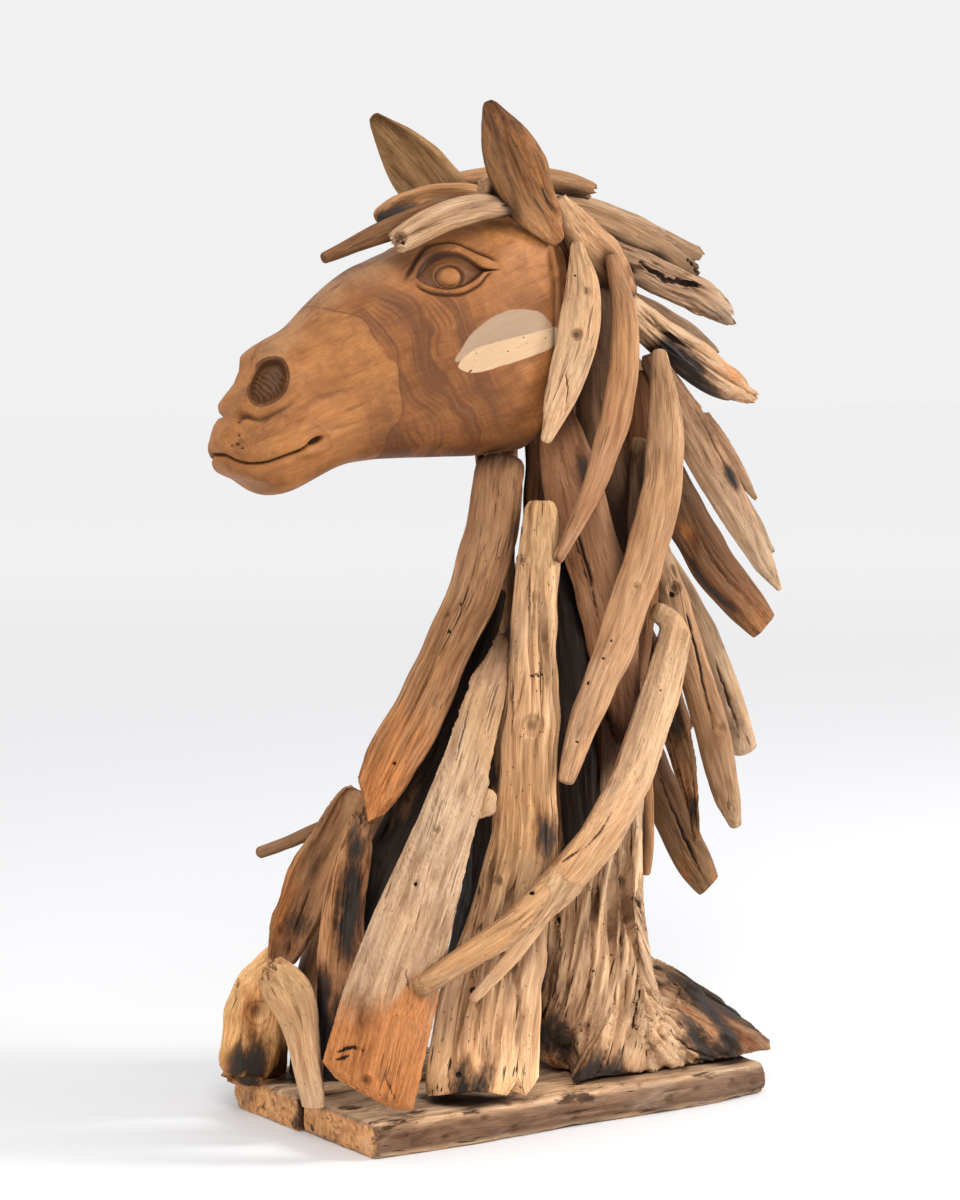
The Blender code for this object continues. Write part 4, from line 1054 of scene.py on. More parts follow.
def carveHead(mesh):
    points, normals = readPoints(mesh), readPoints(mesh, "normal")
    shape, side = headShape, points[:, [0, 2]]
    x, z = side.T
    sideways = smoothStep(np.abs(normals[:, 1]) - 0.4 * normals[:, 0], 0.15, 0.45)
    depth = np.zeros(len(points))
    hollow = np.zeros(len(points))

    def paintCarvedShade(amount):  # painted shade in the bottom of the carving
        nonlocal hollow
        hollow = np.maximum(hollow, amount)

    # eye: lids, eyeball, iris and pupil
    top, bottom = headLine("eyeTop", 30), headLine("eyeBottom", 24)
    inside = toLoop(side, np.concatenate([top, bottom]))
    opened = smoothStep(inside, -0.0004, 0.0013)
    ring = np.hypot(*((side - shape["iris"]) / shape["irisRadii"]).T)
    ball = shape["ballHeight"] * np.clip(1 - (ring / 2.3) ** 2, 0, 1)
    moat = shape["irisDepth"] * (1 - smoothStep(ring, 0.93, 1.02))
    pupil = shape["pupilHeight"] * np.sqrt(np.clip(1 - (ring / 0.74) ** 2, 0, 1)) ** 0.7
    rim = 0.0007 * mound(ring - 1.08, 0.07)
    depth += opened * (-shape["eyeDepth"] + ball - moat + pupil + rim) * sideways
    paintCarvedShade(1.0 * mound(inside - 0.001, 0.0013))
    paintCarvedShade(0.95 * opened * mound(ring - 0.9, 0.1))
    paintCarvedShade(0.7 * opened * mound(ring - 1.25, 0.1))
    paintCarvedShade(0.56 * opened * smoothStep(ring, 0.7, 1.0))
    paintCarvedShade(0.15 * opened)
    upper, lower = headLine("upperFold", 34), headLine("lowerFold", 30)
    lids = ((upper, top, 0.0034, 0.0022, 0.0036), (lower, bottom[::-1], 0.0026, 0.0014, 0.0022))
    for fold, lid, groove, ridge, width in lids:
        far, share = toLine(side, fold)
        taper = smoothStep(share, 0.0, 0.15) * (1 - smoothStep(share, 0.9, 1.0))
        depth -= groove * mound(far, 0.0014) * taper * sideways * (1 - opened)
        paintCarvedShade(1.0 * mound(far, 0.0011) * taper)
        lid = lid[np.linspace(0, len(lid) - 1, len(fold)).astype(int)]
        far, share = toLine(side, (fold + lid) / 2)
        taper = smoothStep(share, 0.0, 0.2) * (1 - smoothStep(share, 0.8, 1.0))
        depth += ridge * mound(far, width) * taper * sideways * (1 - opened)
    browFar = toLine(side, upper + np.array([0.0, 0.012]))[0]
    depth += shape["browHeight"] * mound(browFar, 0.01) * sideways
    depth -= 0.0015 * mound(np.hypot(x + 0.152, z - 0.812), 0.022) * sideways

    # nostril with gouge marks inside, its wing and the crease below it
    turn = shape["facing"]
    facing = np.column_stack([turn[0] * points[:, 0] + turn[1] * np.abs(points[:, 1]), points[:, 2]])
    none = np.zeros(len(points))
    inwards = np.column_stack([none + turn[1], -turn[0] * np.sign(points[:, 1]), none])
    exposed = smoothStep(-(inwards * normals).sum(1), 0.05, 0.35) * smoothStep(-points[:, 0], 0.2, 0.22)
    inside = toLoop(facing, headLine("nostril", 48, closed=True))
    fromCorner = np.hypot(facing[:, 0] + 0.222, facing[:, 1] - 0.704)
    wobble = 0.0007 * np.sin(facing[:, 0] * 420) + 0.0005 * np.sin(facing[:, 1] * 610)
    gouges = np.sin((fromCorner + wobble) / shape["gougeSpacing"] * 2 * math.pi)
    gouges *= smoothStep(inside, 0.002, 0.006) * smoothStep(0.744 - facing[:, 1], 0.0, 0.01)
    well = shape["nostrilDepth"] * smoothStep(inside, -0.0008, 0.009) + shape["gougeDepth"] * gouges
    sunk = well * exposed
    depth += (0.0003 * mound(inside + 0.0024, 0.0018) + 0.0012 * mound(inside + 0.007, 0.006)) * exposed
    paintCarvedShade((0.78 * smoothStep(inside, 0.0, 0.003) - 0.2 * gouges) * exposed)
    paintCarvedShade(0.9 * mound(inside - 0.0005, 0.001) * exposed)
    far, share = toLine(side, headLine("wing", 36))
    strength = 1 - 0.85 * smoothStep(share, 0.25, 0.8)
    depth -= shape["wingDepth"] * strength * mound(far, 0.0022 + 0.001 * share) * sideways
    paintCarvedShade(0.8 * strength * mound(far, 0.0018) * sideways)
    for name in ("upperVein", "lowerVein"):
        far, share = toLine(side, headLine(name, 16))
        taper = np.sin(math.pi * np.clip(share, 0.02, 0.98))
        depth -= shape["veinDepth"] * taper * mound(far, 0.0028) * sideways
        paintCarvedShade(0.4 * taper * mound(far, 0.0018))
    far, share = toLine(side, headLine("scar", 12))
    depth += 0.001 * mound(far, 0.0011) * sideways

    # mouth, right round the front, with a deeper corner
    line = headLine("lips", 40)
    level = np.interp(x, line[:, 0], line[:, 1])
    above = z - level
    within = 1 - smoothStep(x, -0.236, -0.214)
    depth -= shape["mouthDepth"] * mound(above, 0.0012) * within
    depth += (0.0024 * mound(above - 0.008, 0.006) + 0.0018 * mound(above + 0.007, 0.005)) * within
    paintCarvedShade(mound(above, 0.0014) * within)
    corner = np.array(shape["lipCorner"])
    turned = side - corner
    long, short = turned @ np.array([0.94, 0.34]), turned @ np.array([-0.34, 0.94])
    pit = smoothStep(1 - np.hypot(long / 0.0115, short / 0.0036), 0.0, 0.5)
    depth -= shape["mouthDepth"] * pit * sideways
    depth += 0.002 * mound(np.hypot(long / 0.018, short / 0.01) - 1.0, 0.35) * sideways
    paintCarvedShade(pit)

    # weathered front of the muzzle and chin
    heights, stands = np.array(shape["frontBumps"]).T
    forward = 1 - smoothStep(x, -0.285, -0.24)
    depth += np.interp(z, heights, smoothRows(stands, 0.4)) * forward
    # holes in the front, with a mask for the painted shade inside them
    crack = np.zeros(len(points))
    for *place, width in shape["holes"]:
        here = mound(lengths((points - place) * (1.0, 1.0, 1.4)), width)
        depth -= shape["holeDepth"] * here
        crack = np.maximum(crack, smoothStep(here, 0.2, 0.6))

    points += normals * depth[:, None] + inwards * sunk[:, None]
    movePoints(mesh, points)

    along = 0.93 * points[:, 0] + 0.37 * points[:, 2]
    up = -0.37 * points[:, 0] + 0.93 * points[:, 2]
    grain = np.column_stack([points[:, 1], up, along]) + (2.0, 1.0, 3.0)
    storeValues(mesh, "grain", grain)
    storeValues(mesh, "endness", np.zeros(len(points)))
    # painted shade in the bottom of the carving
    storeValues(mesh, "carved", np.clip(hollow, 0, 1))
    storeValues(mesh, "crack", crack)
    for name in ("frontPatch", "paleStrip", "greyPatch"):
        storeValues(mesh, name, toLoop(side, headLine(name, 40, closed=True)))
    jaw = x + 0.35 * (z - 0.75)
    swirl = smoothStep(x, -0.19, -0.14) * (1 - smoothStep(jaw, -0.06, -0.02))
    swirl = np.maximum(swirl, 0.3 * smoothStep(x, -0.16, -0.12))
    storeValues(mesh, "figure", swirl * (1 - 0.8 * smoothStep(z, 0.8, 0.83)))
    # painted highlight: the forehead is painted lighter, as if lit from above
    brow = mound(np.hypot((x + 0.005) / 1.5, z - 0.865), 0.06)
    storeValues(mesh, "foreheadHighlight", np.clip(1.3 * brow, 0, 1))
    # painted highlight: the upward-facing top of the nose bridge is painted paler, as if lit from above
    bridgeHighlight = smoothStep(normals[:, 2], 0.45, 0.85) * (1 - smoothStep(x, -0.15, -0.08))
    storeValues(mesh, "bridgeHighlight", bridgeHighlight)


def countTriangles(obj):
    return sum(len(face.vertices) - 2 for face in obj.data.polygons)


def makeHead():
    obj = addPiece("head_carved", headBase())
    remesh = obj.modifiers.new("remesh", "REMESH")
    remesh.mode = "VOXEL"
    remesh.voxel_size = headShape["voxel"]
    bake(obj)
    mesh = obj.data
    movePoints(mesh, relaxed(readPoints(mesh), mesh, 4))
    refine(mesh, lambda centres: nearFeature(centres, 0.052, 0.062))
    refine(mesh, lambda centres: nearFeature(centres, 0.036, 0.0))
    movePoints(mesh, relaxed(readPoints(mesh), mesh, 3))
    carveHead(mesh)
    relief = {**reliefInputs, **headRelief, "Material": makeHeadWood()}
    finishWith(obj, reliefTree, relief)
    obj.data.shade_smooth()
    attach(obj, "root")
    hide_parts("head")
    print("head ready:", countTriangles(obj), "triangles")


headRelief = {
    "Seed": 4.0,
    "Lump Depth": 0.0014,
    "Lump Size": 0.035,
    "Groove Depth": 0.00012,
    "Groove Spacing": 0.012,
    "Fibre Depth": 0.0,
    "Crack Depth": 0.0,
    "Crack Amount": 0.0,
    "Wave": 0.006,
    "Knot Height": 0.0,
}
headLook = {
    "light": (0.52, 0.215, 0.066),
    "mid": (0.37, 0.14, 0.038),
    "dark": (0.145, 0.046, 0.012),
    "line": (0.095, 0.032, 0.012),
    "front": (0.42, 0.176, 0.052),
    # painted highlights, as if lit from above: a lighter forehead and a paler top of the nose bridge
    "foreheadHighlight": (0.46, 0.19, 0.06),
    "bridgeHighlight": (0.42, 0.24, 0.125),
    "pale": (0.66, 0.435, 0.25),
    "grey": (0.4, 0.265, 0.172),
    # painted shade in the carved recesses and inside the holes
    "recessShade": (0.045, 0.016, 0.006),
    "hole": (0.02, 0.01, 0.006),
    "roughness": 0.5,
    "lineSpacing": 0.0072,
}


def makeHeadWood():
    look = headLook
    material, net, shader = newMaterial("carvedTeak", 0.24)
    place = net.add("ShaderNodeTexCoord").outputs["Object"]
    grain = net.add("ShaderNodeGroup", node_tree=grainGroup)
    along = net.read("grain", "Vector")
    for key, value in (("Vector", along), ("Fibre Size", 0.0016), ("Band Size", 0.008), ("Wave", 0.008)):
        net.feed(value, grain.inputs[key])
    fibre, band, figure = (grain.outputs[key] for key in ("Fibre", "Band", "Figure"))

    def over(share, tint):
        nonlocal colour
        colour = net.blend(share, colour, look[tint] if isinstance(tint, str) else tint)

    mottle = net.remap(net.cloud(net.stretched(place, 1.5), 15.0, 5.0, 0.62, 0.6), 0.34, 0.64)
    fine = net.remap(net.cloud(place, 130.0, 3.0, 0.6), 0.35, 0.7)
    colour = net.blend(net.times(mottle, 0.62), look["mid"], look["dark"])
    over(net.times(band, 0.2), "light")
    # painted highlights on the forehead and the top of the nose bridge, as if lit from above
    over(net.times(net.read("foreheadHighlight"), net.remap(mottle, 0.0, 1.0, 0.85, 0.35)), "foreheadHighlight")
    over(net.times(net.read("bridgeHighlight"), 0.8), "bridgeHighlight")

    # growth lines that sweep down the cheek
    slow = net.cloud(place, 13.0, output="Color")
    bend = net.sized(net.shifted(slow, (-0.5, -0.5, -0.5)), 0.055)
    warped = net.add("ShaderNodeSeparateXYZ", {0: net.shifted(place, bend)}).outputs
    across = net.timesPlus(warped[2], 0.62, warped[0])
    rings = net.calc("SINE", net.times(across, 2 * math.pi / look["lineSpacing"]))
    uneven = net.cloud(net.stretched(place, 0.5), 34.0)
    lines = net.remap(net.plus(rings, uneven), 0.6, 1.65)
    flow = net.scaled(net.add("ShaderNodeCombineXYZ", {0: across}).outputs[0], (62.0, 0.0, 0.0))
    flow = net.cloud(net.shifted(flow, slow), 1.0, 3.0, 0.6)
    deep = net.times(net.read("figure"), net.remap(uneven, 0.35, 0.65, 0.15, 1.0))
    over(net.times(net.read("figure"), 0.4), "dark")
    over(net.times(net.read("figure"), net.remap(flow, 0.44, 0.58, 0.0, 0.72)), "line")
    over(net.times(lines, net.times(deep, 0.55)), "line")

    def region(name, wobble, low, high):
        ragged = net.cloud(place, 90.0, 3.0, 0.65)
        ragged = net.timesPlus(net.minus(ragged, 0.5), wobble, net.read(name))
        return net.remap(ragged, low, high)

    front = region("frontPatch", 0.003, -0.0005, 0.003)
    over(net.times(front, net.remap(figure, 0.1, 0.9, 0.25, 0.65)), "front")
    rim = net.calc("ABSOLUTE", net.read("frontPatch"))
    rim = net.times(net.remap(rim, 0.0002, 0.0012, 1.0, 0.0), net.remap(mottle, 0.2, 0.6))
    over(net.times(rim, 0.7), "line")
    streak = net.blend(fibre, (0.8, 0.76, 0.72), (1.14, 1.15, 1.16))
    over(0.55, net.tinted(colour, streak))
    veins = net.cloud(net.stretched(net.read("grain", "Vector"), 0.1), 95.0, 3.0, 0.62)
    veins = net.remap(veins, 0.5, 0.68)
    over(net.times(veins, net.remap(mottle, 0.0, 1.0, 0.24, 0.66)), "dark")
    cloudy = net.remap(net.cloud(net.shifted(place, (3.0, 1.0, 2.0)), 32.0, 4.0, 0.65), 0.44, 0.66)
    over(net.times(cloudy, 0.38), "dark")
    over(net.times(fine, 0.14), "dark")
    grey = net.blend(figure, look["grey"], graded(0.82, look["grey"]))
    over(net.times(region("greyPatch", 0.003, -0.0006, 0.0012), 0.93), grey)
    pale = net.blend(net.times(fibre, 0.4), graded(0.78, look["pale"]), look["pale"])
    pale = net.blend(net.remap(net.cloud(place, 210.0, 1.0), 0.7, 0.74), pale, look["dark"])
    over(region("paleStrip", 0.002, -0.0002, 0.0006), pale)
    # painted shade in the carved recesses: eye, lid folds, nostril, wing crease, veins and mouth
    over(net.remap(net.read("carved"), 0.0, 0.95, 0.0, 0.92), "recessShade")
    # painted shade inside the holes in the front of the muzzle
    torn = net.remap(net.cloud(place, 420.0), 0.36, 0.52)
    over(net.times(net.read("crack"), torn), "hole")
    net.feed(colour, shader["Base Color"])
    rough = net.timesPlus(mottle, 0.1, look["roughness"])
    net.feed(net.timesPlus(region("paleStrip", 0.002, 0.0, 0.001), 0.22, rough), shader["Roughness"])
    height = net.timesPlus(fine, 0.5, net.times(fibre, 0.6))
    bump = {"Height": height, "Distance": 0.0005, "Strength": 0.35}
    net.feed(net.add("ShaderNodeBump", bump).outputs[0], shader["Normal"])
    return material


# the sticks

slotOf = {
    "carved": "carved_teak",
    "pale": "pale_driftwood",
    "tan": "tan_driftwood",
    "brown": "brown_driftwood",
    "charred": "charred_driftwood",
    "board": "base_board",
}
woodOfSlot = {slot: wood for wood, slot in slotOf.items()}
nodeSlots = {part["node"]: part["material_slot"] for part in frame["record"]["subparts"]}
stickDefaults = {  # in metres where nothing else is said
    "tones": None,  # colours along the stick, in per cent: share of its length, red, green, blue
    "sideTone": None,  # other colours of a board's sides and ends, in per cent
    "endTone": None,
    "across": 0.0019,  # spacing of the mesh round and along the stick
    "along": 0.006,
    "thicker": 1.0,
    "flare": (1.0, 1.0),  # extra width at the start and the end
    "width": 1.0,
    "contrast": 0.9,  # of the grain's colours
    "longer": (0, 0),  # millimetres added at the start and the end
    "moved": (0, 0, 0),  # millimetres
    "soft": 0.0045,
    "softAlong": 0.01,
    "sway": 0.35,
    "sharpAngle": 62,  # degrees
    "start": ("worn", 0.6),
    "end": ("worn", 0.6),
    "relief": {},
    "face": (-0.565, -0.825, 0.0),
    "reach": 0.09,  # how far its own solid is looked for round its middle line
    "hollow": None,  # depth, share of the length where it starts and ends, half width
    "merged": None,  # grid size for a forked stick, which is rebuilt from its whole solid
    "paths": (),  # lines along its arms, in millimetres
}
woodTones = {
    "pale": ((0, 60, 38, 22), (100, 56, 34, 18)),
    "tan": ((0, 50, 28, 14), (100, 46, 25, 12)),
    "brown": ((0, 28, 14, 7), (100, 34, 18, 9)),
    "charred": ((0, 9, 5.5, 3.5), (100, 6, 4, 3)),
    "board": ((0, 40, 26, 16), (100, 34, 20, 12)),
}
reliefKinds = {
    "smooth": {
        "Lump Depth": 0.0022, "Groove Depth": 0.0006, "Groove Spacing": 0.008, "Fibre Depth": 0.00025,
        "Crack Depth": 0.0022, "Crack Spacing": 0.026, "Crack Amount": 0.22, "Knot Height": 0.0016,
    },
    "ridged": {
        "Lump Depth": 0.0035, "Groove Depth": 0.0026, "Groove Spacing": 0.01, "Fibre Depth": 0.0007,
        "Crack Depth": 0.005, "Crack Spacing": 0.034, "Crack Amount": 0.48, "Knot Height": 0.003,
    },
    "torn": {
        "Lump Depth": 0.005, "Lump Size": 0.032, "Groove Depth": 0.003, "Groove Spacing": 0.009,
        "Fibre Depth": 0.0008, "Crack Depth": 0.006, "Crack Spacing": 0.028, "Crack Amount": 0.6,
        "Pit Depth": 0.001,
    },
    "bark": {
        "Lump Depth": 0.002, "Lump Size": 0.03, "Groove Depth": 0.0008, "Groove Spacing": 0.008,
        "Fibre Depth": 0.0004, "Crack Depth": 0.002, "Crack Spacing": 0.022, "Crack Amount": 0.25,
        "Knot Height": 0.001, "Pit Depth": 0.0008,
    },
}
# Most places here were worked out by another program, by casting rays onto the sticks: they are data,
# not a design, and would be better chosen along and round each stick.
stickMarks = {  # kind, radius and strength, then its places; lengths are in millimetres
    "ear_left": (
        ("dark", 4, 0.8, (-61, -96, 986), (-43, -97, 960), (-24, -87, 920), (-9, -77, 892)),
        ("dark", 3, 0.6, (-53, -97, 976), (-42, -90, 943), (-28, -81, 915)),
        ("fresh", 16, 0.5, (-13, -101, 953), (6, -94, 916)),
    ),
    "ear_right": (
        ("dark", 20, 0.4, (-32, 82, 924)),
    ),
    "forelock_pale": (
        ("knot", 6, 1, (-136, -64, 868)), ("hole", 2, 1, (-139, -61, 865)),
        ("hole", 2, 1, (-134, -66, 863)),
        ("dark", 4, 0.5, (-96, -72, 890), (-64, -76, 899), (-30, -78, 906)),
    ),
    "forelock_hollow": (
        ("char", 11, 1, (-86, 19, 894), (-99, 22, 886)),
    ),
    "forelock_long": (
        ("dark", 5, 0.6, (-190, -24, 849), (-157, -26, 859), (-122, -25, 869)),
    ),
    "poll_wedge": (
        ("fresh", 14, 0.5, (-33, -56, 919)),
    ),
    "poll_stick": (
        ("dark", 6, 0.6, (117, 0, 923)),
    ),
    "cheek_lock_left": (
        ("knot", 5, 0.8, (60, -97, 818)), ("knot", 6, 1, (49, -96, 776)), ("hole", 1.5, 1, (51, -90, 834)),
        ("hole", 1.2, 1, (45, -81, 831)),
        ("split", 1.2, 0.8, (34, -89, 756), (38, -97, 727), (35, -97, 702)),
    ),
    "crest_slat": (
        ("dark", 3, 0.8, (99, -75, 855), (120, -73, 836), (146, -63, 816)),
        ("char", 4, 0.6, (129, -77, 843), (146, -71, 826)),
    ),
    "mane_broken_end": (
        ("hole", 3, 1, (236, -44, 851)), ("hole", 3, 1, (241, -44, 844)), ("hole", 2, 1, (231, -44, 854)),
        ("char", 6, 0.7, (201, -19, 853), (224, -24, 843)),
    ),
    "mane_torn": (
        ("dark", 12, 0.6, (220, -45, 835)),
        ("split", 3, 1, (170, -40, 850), (204, -43, 832), (242, -47, 827)),
        ("dark", 4, 0.6, (242, -47, 826), (261, -49, 823)),
    ),
    "mane_split": (
        ("char", 12, 0.9, (200, -61, 757), (227, -58, 735), (262, -45, 719)),
        ("char", 6, 0.9, (193, -63, 765)), ("fresh", 18, 0.6, (244, -71, 753), (281, -68, 726)),
        ("groove", 2, 1, (152, -63, 806), (176, -65, 786), (201, -66, 766)),
        ("groove", 2.2, 0.9, (172, -63, 781), (215, -65, 751), (256, -63, 725)),
    ),
    "mane_forked": (
        ("char", 7, 1, (269, -72, 633)), ("fresh", 6, 0.5, (213, -68, 741), (225, -73, 715)),
        ("groove", 2.2, 1, (215, -69, 708), (250, -71, 659), (285, -68, 598)),
        ("groove", 1.8, 0.9, (222, -73, 718), (266, -72, 667), (299, -74, 606)),
        ("dark", 8, 0.8, (209, -70, 726), (242, -73, 679)),
    ),
    "mane_blunt": (
        ("fresh", 8, 0.8, (251, -15, 572)), ("dark", 5, 0.8, (258, -19, 565), (263, -15, 555)),
        ("char", 3, 0.8, (267, -7, 539), (293, -6, 512), (318, -9, 491)),
        ("fresh", 16, 0.5, (350, -20, 478)),
        ("groove", 2, 0.9, (246, -24, 595), (283, -23, 539), (330, -21, 495)),
    ),
    "mane_hooked": (
        ("knot", 7, 1, (193, -69, 519)), ("hole", 3, 1, (191, -68, 512)), ("knot", 6, 0.7, (246, -80, 372)),
        ("dark", 5, 0.5, (186, -68, 543), (199, -71, 507)),
        ("split", 1.4, 0.8, (192, -71, 543), (215, -75, 465), (239, -77, 371)),
    ),
    "mane_flat": (
        ("char", 8, 0.6, (341, 25, 386), (348, 25, 369)), ("dark", 8, 0.7, (354, 28, 348)),
        ("fresh", 6, 0.6, (355, 16, 391)), ("split", 1.4, 0.8, (322, 25, 430), (350, 25, 364)),
    ),
    "mane_ragged": (
        ("char", 10, 0.9, (224, -27, 380)), ("char", 6, 0.9, (256, -24, 280), (261, -17, 257)),
        ("fresh", 8, 0.7, (243, -24, 318), (252, -23, 290)),
    ),
    "mane_low": (
        ("fresh", 14, 0.5, (279, 20, 214)), ("dark", 12, 0.5, (254, 18, 253)),
        ("fresh", 10, 0.4, (313, 10, 195)),
        ("split", 1.6, 0.8, (238, 11, 309), (272, 11, 242), (293, 12, 207)),
    ),
    "root_strip": (
        ("char", 5, 0.9, (159, -38, 201), (165, -38, 183)),
    ),
    "lock_left_upper": (
        ("knot", 4.2, 1, (12, -108, 566)), ("dent", 3, 1, (7, -120, 558)),
    ),
    "lock_left_lower": (
        ("knot", 4.5, 0.8, (94, -136, 529)), ("hole", 1.8, 1, (49, -141, 462)),
        ("hole", 1.8, 1, (32, -137, 439)), ("hole", 1.6, 1, (14, -147, 382)),
        ("hole", 1.6, 1, (60, -140, 478)),
    ),
    "branch_forked": (
        ("char", 8, 1, (153, -92, 472), (146, -94, 466)),
        ("dark", 12, 0.6, (160, -98, 482), (150, -94, 474)), ("hole", 1.5, 1, (131, -127, 423)),
        ("split", 1, 0.7, (19, -152, 276), (40, -149, 291), (57, -146, 309)),
        ("split", 1, 0.7, (-7, -148, 266), (16, -150, 278)), ("hole", 2.2, 1, (-44, -153, 241)),
        ("dark", 6, 0.5, (-57, -152, 234), (-74, -143, 220)),
    ),
    "neck_post_left": (
        ("knot", 5, 1, (-15, -93, 557)), ("knot", 6, 0.5, (-8, -109, 521)),
        ("knot", 11, 0.7, (-19, -117, 397)),
        ("groove", 1.4, 0.9, (-34, -103, 400), (-29, -108, 418), (-25, -110, 440), (-21, -111, 453)),
        ("split", 1.2, 0.8, (-19, -113, 445), (-7, -119, 446)), ("knot", 5, 0.9, (-56, -112, 247)),
        ("groove", 1.8, 1, (-55, -127, 201), (-60, -127, 188), (-66, -127, 176)),
        ("dark", 14, 0.7, (-79, -133, 94)), ("dark", 10, 0.7, (-55, -144, 109)),
        ("char", 12, 0.9, (-105, -123, 50), (-94, -129, 43)),
        ("dark", 20, 0.6, (-89, -99, 191), (-97, -99, 172)),
        ("dark", 20, 0.5, (-37, -81, 320), (-43, -81, 292)),
        ("dark", 10, 0.6, (-53, -106, 276), (-53, -112, 258)),
        ("char", 10, 0.8, (-12, -130, 296), (-8, -130, 284)), ("hole", 3, 1, (-91, -120, 145)),
        ("hole", 2.5, 1, (-106, -119, 64)), ("groove", 2, 1, (-85, -124, 150), (-90, -124, 126)),
        ("groove", 2, 1, (-50, -134, 182), (-57, -139, 145)), ("fresh", 12, 0.4, (-63, -138, 135)),
        ("groove", 1.8, 0.9, (-22, -80, 478), (-33, -101, 421), (-34, -108, 363)),
        ("groove", 1.6, 0.9, (-1, -106, 557), (-2, -117, 480), (-4, -123, 422)),
        ("groove", 2.6, 0.9, (-45, -100, 324), (-60, -105, 248), (-84, -109, 182)),
        ("groove", 2.4, 0.9, (-33, -117, 325), (-46, -122, 248), (-63, -129, 173), (-78, -131, 116)),
        ("groove", 2.6, 0.9, (-83, -118, 168), (-100, -115, 116), (-112, -112, 58)),
        ("groove", 2.2, 0.9, (-52, -135, 173), (-52, -144, 125), (-59, -145, 77)),
        ("groove", 2.2, 0.8, (-69, -135, 131), (-75, -136, 78)),
        ("ridge", 6, 0.8, (-24, -121, 325), (-30, -123, 296), (-46, -115, 277)),
        ("ridge", 5, 0.8, (-51, -129, 201), (-55, -140, 144), (-62, -142, 87)),
        ("ridge", 5, 0.8, (-95, -118, 135), (-107, -114, 78)),
    ),
    "neck_post_right": (
        ("char", 22, 1.2, (46, 85, 300), (46, 85, 260), (46, 85, 220)),
        ("char", 20, 1, (40, 85, 190), (36, 85, 150)),
    ),
    "shoulder_plank_left": (
        ("knot", 4.5, 0.8, (-132, -118, 305)), ("hole", 3.5, 1, (-159, -124, 256)),
        ("dark", 16, 0.8, (-222, -130, 143)),
        ("split", 1.4, 1, (-245, -120, 104), (-236, -128, 109), (-226, -136, 107)),
        ("split", 1, 1, (-247, -120, 97), (-238, -128, 101)), ("knot", 5, 1, (-226, -141, 79)),
        ("fresh", 26, 1.3, (-236, -132, 78), (-212, -145, 74), (-196, -156, 78)),
        ("fresh", 22, 1.3, (-186, -152, 110), (-215, -142, 100), (-250, -117, 90)),
        ("split", 1, 0.7, (-210, -149, 83), (-203, -156, 60)),
        ("split", 1, 0.7, (-238, -132, 74), (-221, -141, 60)),
        ("split", 1.2, 0.6, (-181, -140, 178), (-180, -146, 160)),
        ("split", 1, 0.5, (-107, -122, 322), (-95, -126, 310)),
        ("split", 1, 0.5, (-113, -122, 315), (-99, -127, 303)),
        ("split", 1, 0.7, (-77, -96, 424), (-102, -107, 368)),
        ("split", 1, 0.6, (-142, -124, 277), (-167, -135, 214)),
        ("ridge", 7, 0.7, (-82, -119, 358), (-68, -113, 332), (-78, -111, 313)),
        ("dark", 10, 0.5, (-240, -127, 98), (-230, -138, 84)),
    ),
    "throat_slat_left": (
        ("knot", 4.5, 0.8, (-70, -47, 502)), ("hole", 2, 1, (-75, -57, 487)),
        ("hole", 1.5, 1, (-59, -54, 513)), ("hole", 2, 1, (-148, -71, 364)),
        ("fresh", 30, 0.9, (-160, -72, 340), (-172, -68, 319)),
        # painted shade: the dark band at the top of the slat, under the head
        ("dark", 20, 0.4, (-6, -53, 633), (-14, -51, 614)),
        ("groove", 1.8, 0.9, (-82, -56, 479), (-110, -61, 432), (-143, -65, 384)),
        ("split", 1.4, 0.8, (-39, -49, 555), (-60, -56, 507), (-88, -59, 465)),
        ("split", 1.2, 0.7, (-11, -51, 624), (-23, -55, 575)),
    ),
    "chest_slat_grooved": (
        ("char", 12, 0.9, (-182, -54, 281), (-189, -58, 234), (-194, -62, 196)),
        ("char", 22, 0.9, (-217, -49, 119), (-216, -52, 95)),
        ("dark", 8, 0.6, (-198, -42, 269), (-203, -41, 252)),
        ("groove", 2.6, 1, (-194, -41, 280), (-208, -40, 233), (-216, -42, 151)),
        ("groove", 2.6, 1, (-186, -42, 296), (-201, -51, 234), (-212, -54, 153)),
        ("groove", 2.4, 1, (-181, -49, 298), (-190, -56, 243), (-199, -60, 187)),
        ("groove", 2, 0.9, (-201, -41, 262), (-210, -49, 196)),
    ),
    "chest_slat_hollow": (
        ("dark", 14, 0.8, (-183, 14, 272), (-206, 10, 225), (-218, 9, 192)),
        ("char", 8, 0.7, (-215, 11, 207), (-215, 3, 193)),
        ("fresh", 12, 0.7, (-199, 30, 262), (-220, 26, 215), (-228, 28, 191)),
    ),
    "charred_plank": (
        ("fresh", 10, 0.6, (-110, -43, 330), (-119, -44, 317)),
    ),
    "chest_root": (
        ("dark", 8, 0.5, (-259, -26, 164), (-258, -28, 149)), ("dark", 10, 0.4, (-237, -36, 173)),
        ("groove", 1.8, 0.8, (-249, -38, 174), (-244, -49, 132), (-237, -44, 71)),
        ("dark", 6, 0.6, (-253, -20, 171), (-256, -35, 155)),
    ),
    "chest_burl": (
        ("fresh", 20, 0.7, (-234, 60, 111), (-225, 53, 121)), ("knot", 14, 0.8, (-227, 57, 109)),
        ("dark", 18, 0.8, (-235, 74, 62)), ("knot", 6, 1, (-237, 75, 134)),
        ("groove", 2, 0.7, (-239, 81, 118), (-232, 64, 90)),
        ("dark", 14, 1, (-236, 87, 56), (-223, 71, 53), (-205, 62, 59)),
        ("char", 10, 0.9, (-236, 78, 54), (-222, 66, 50)), ("dent", 12, 0.6, (-240, 80, 90)),
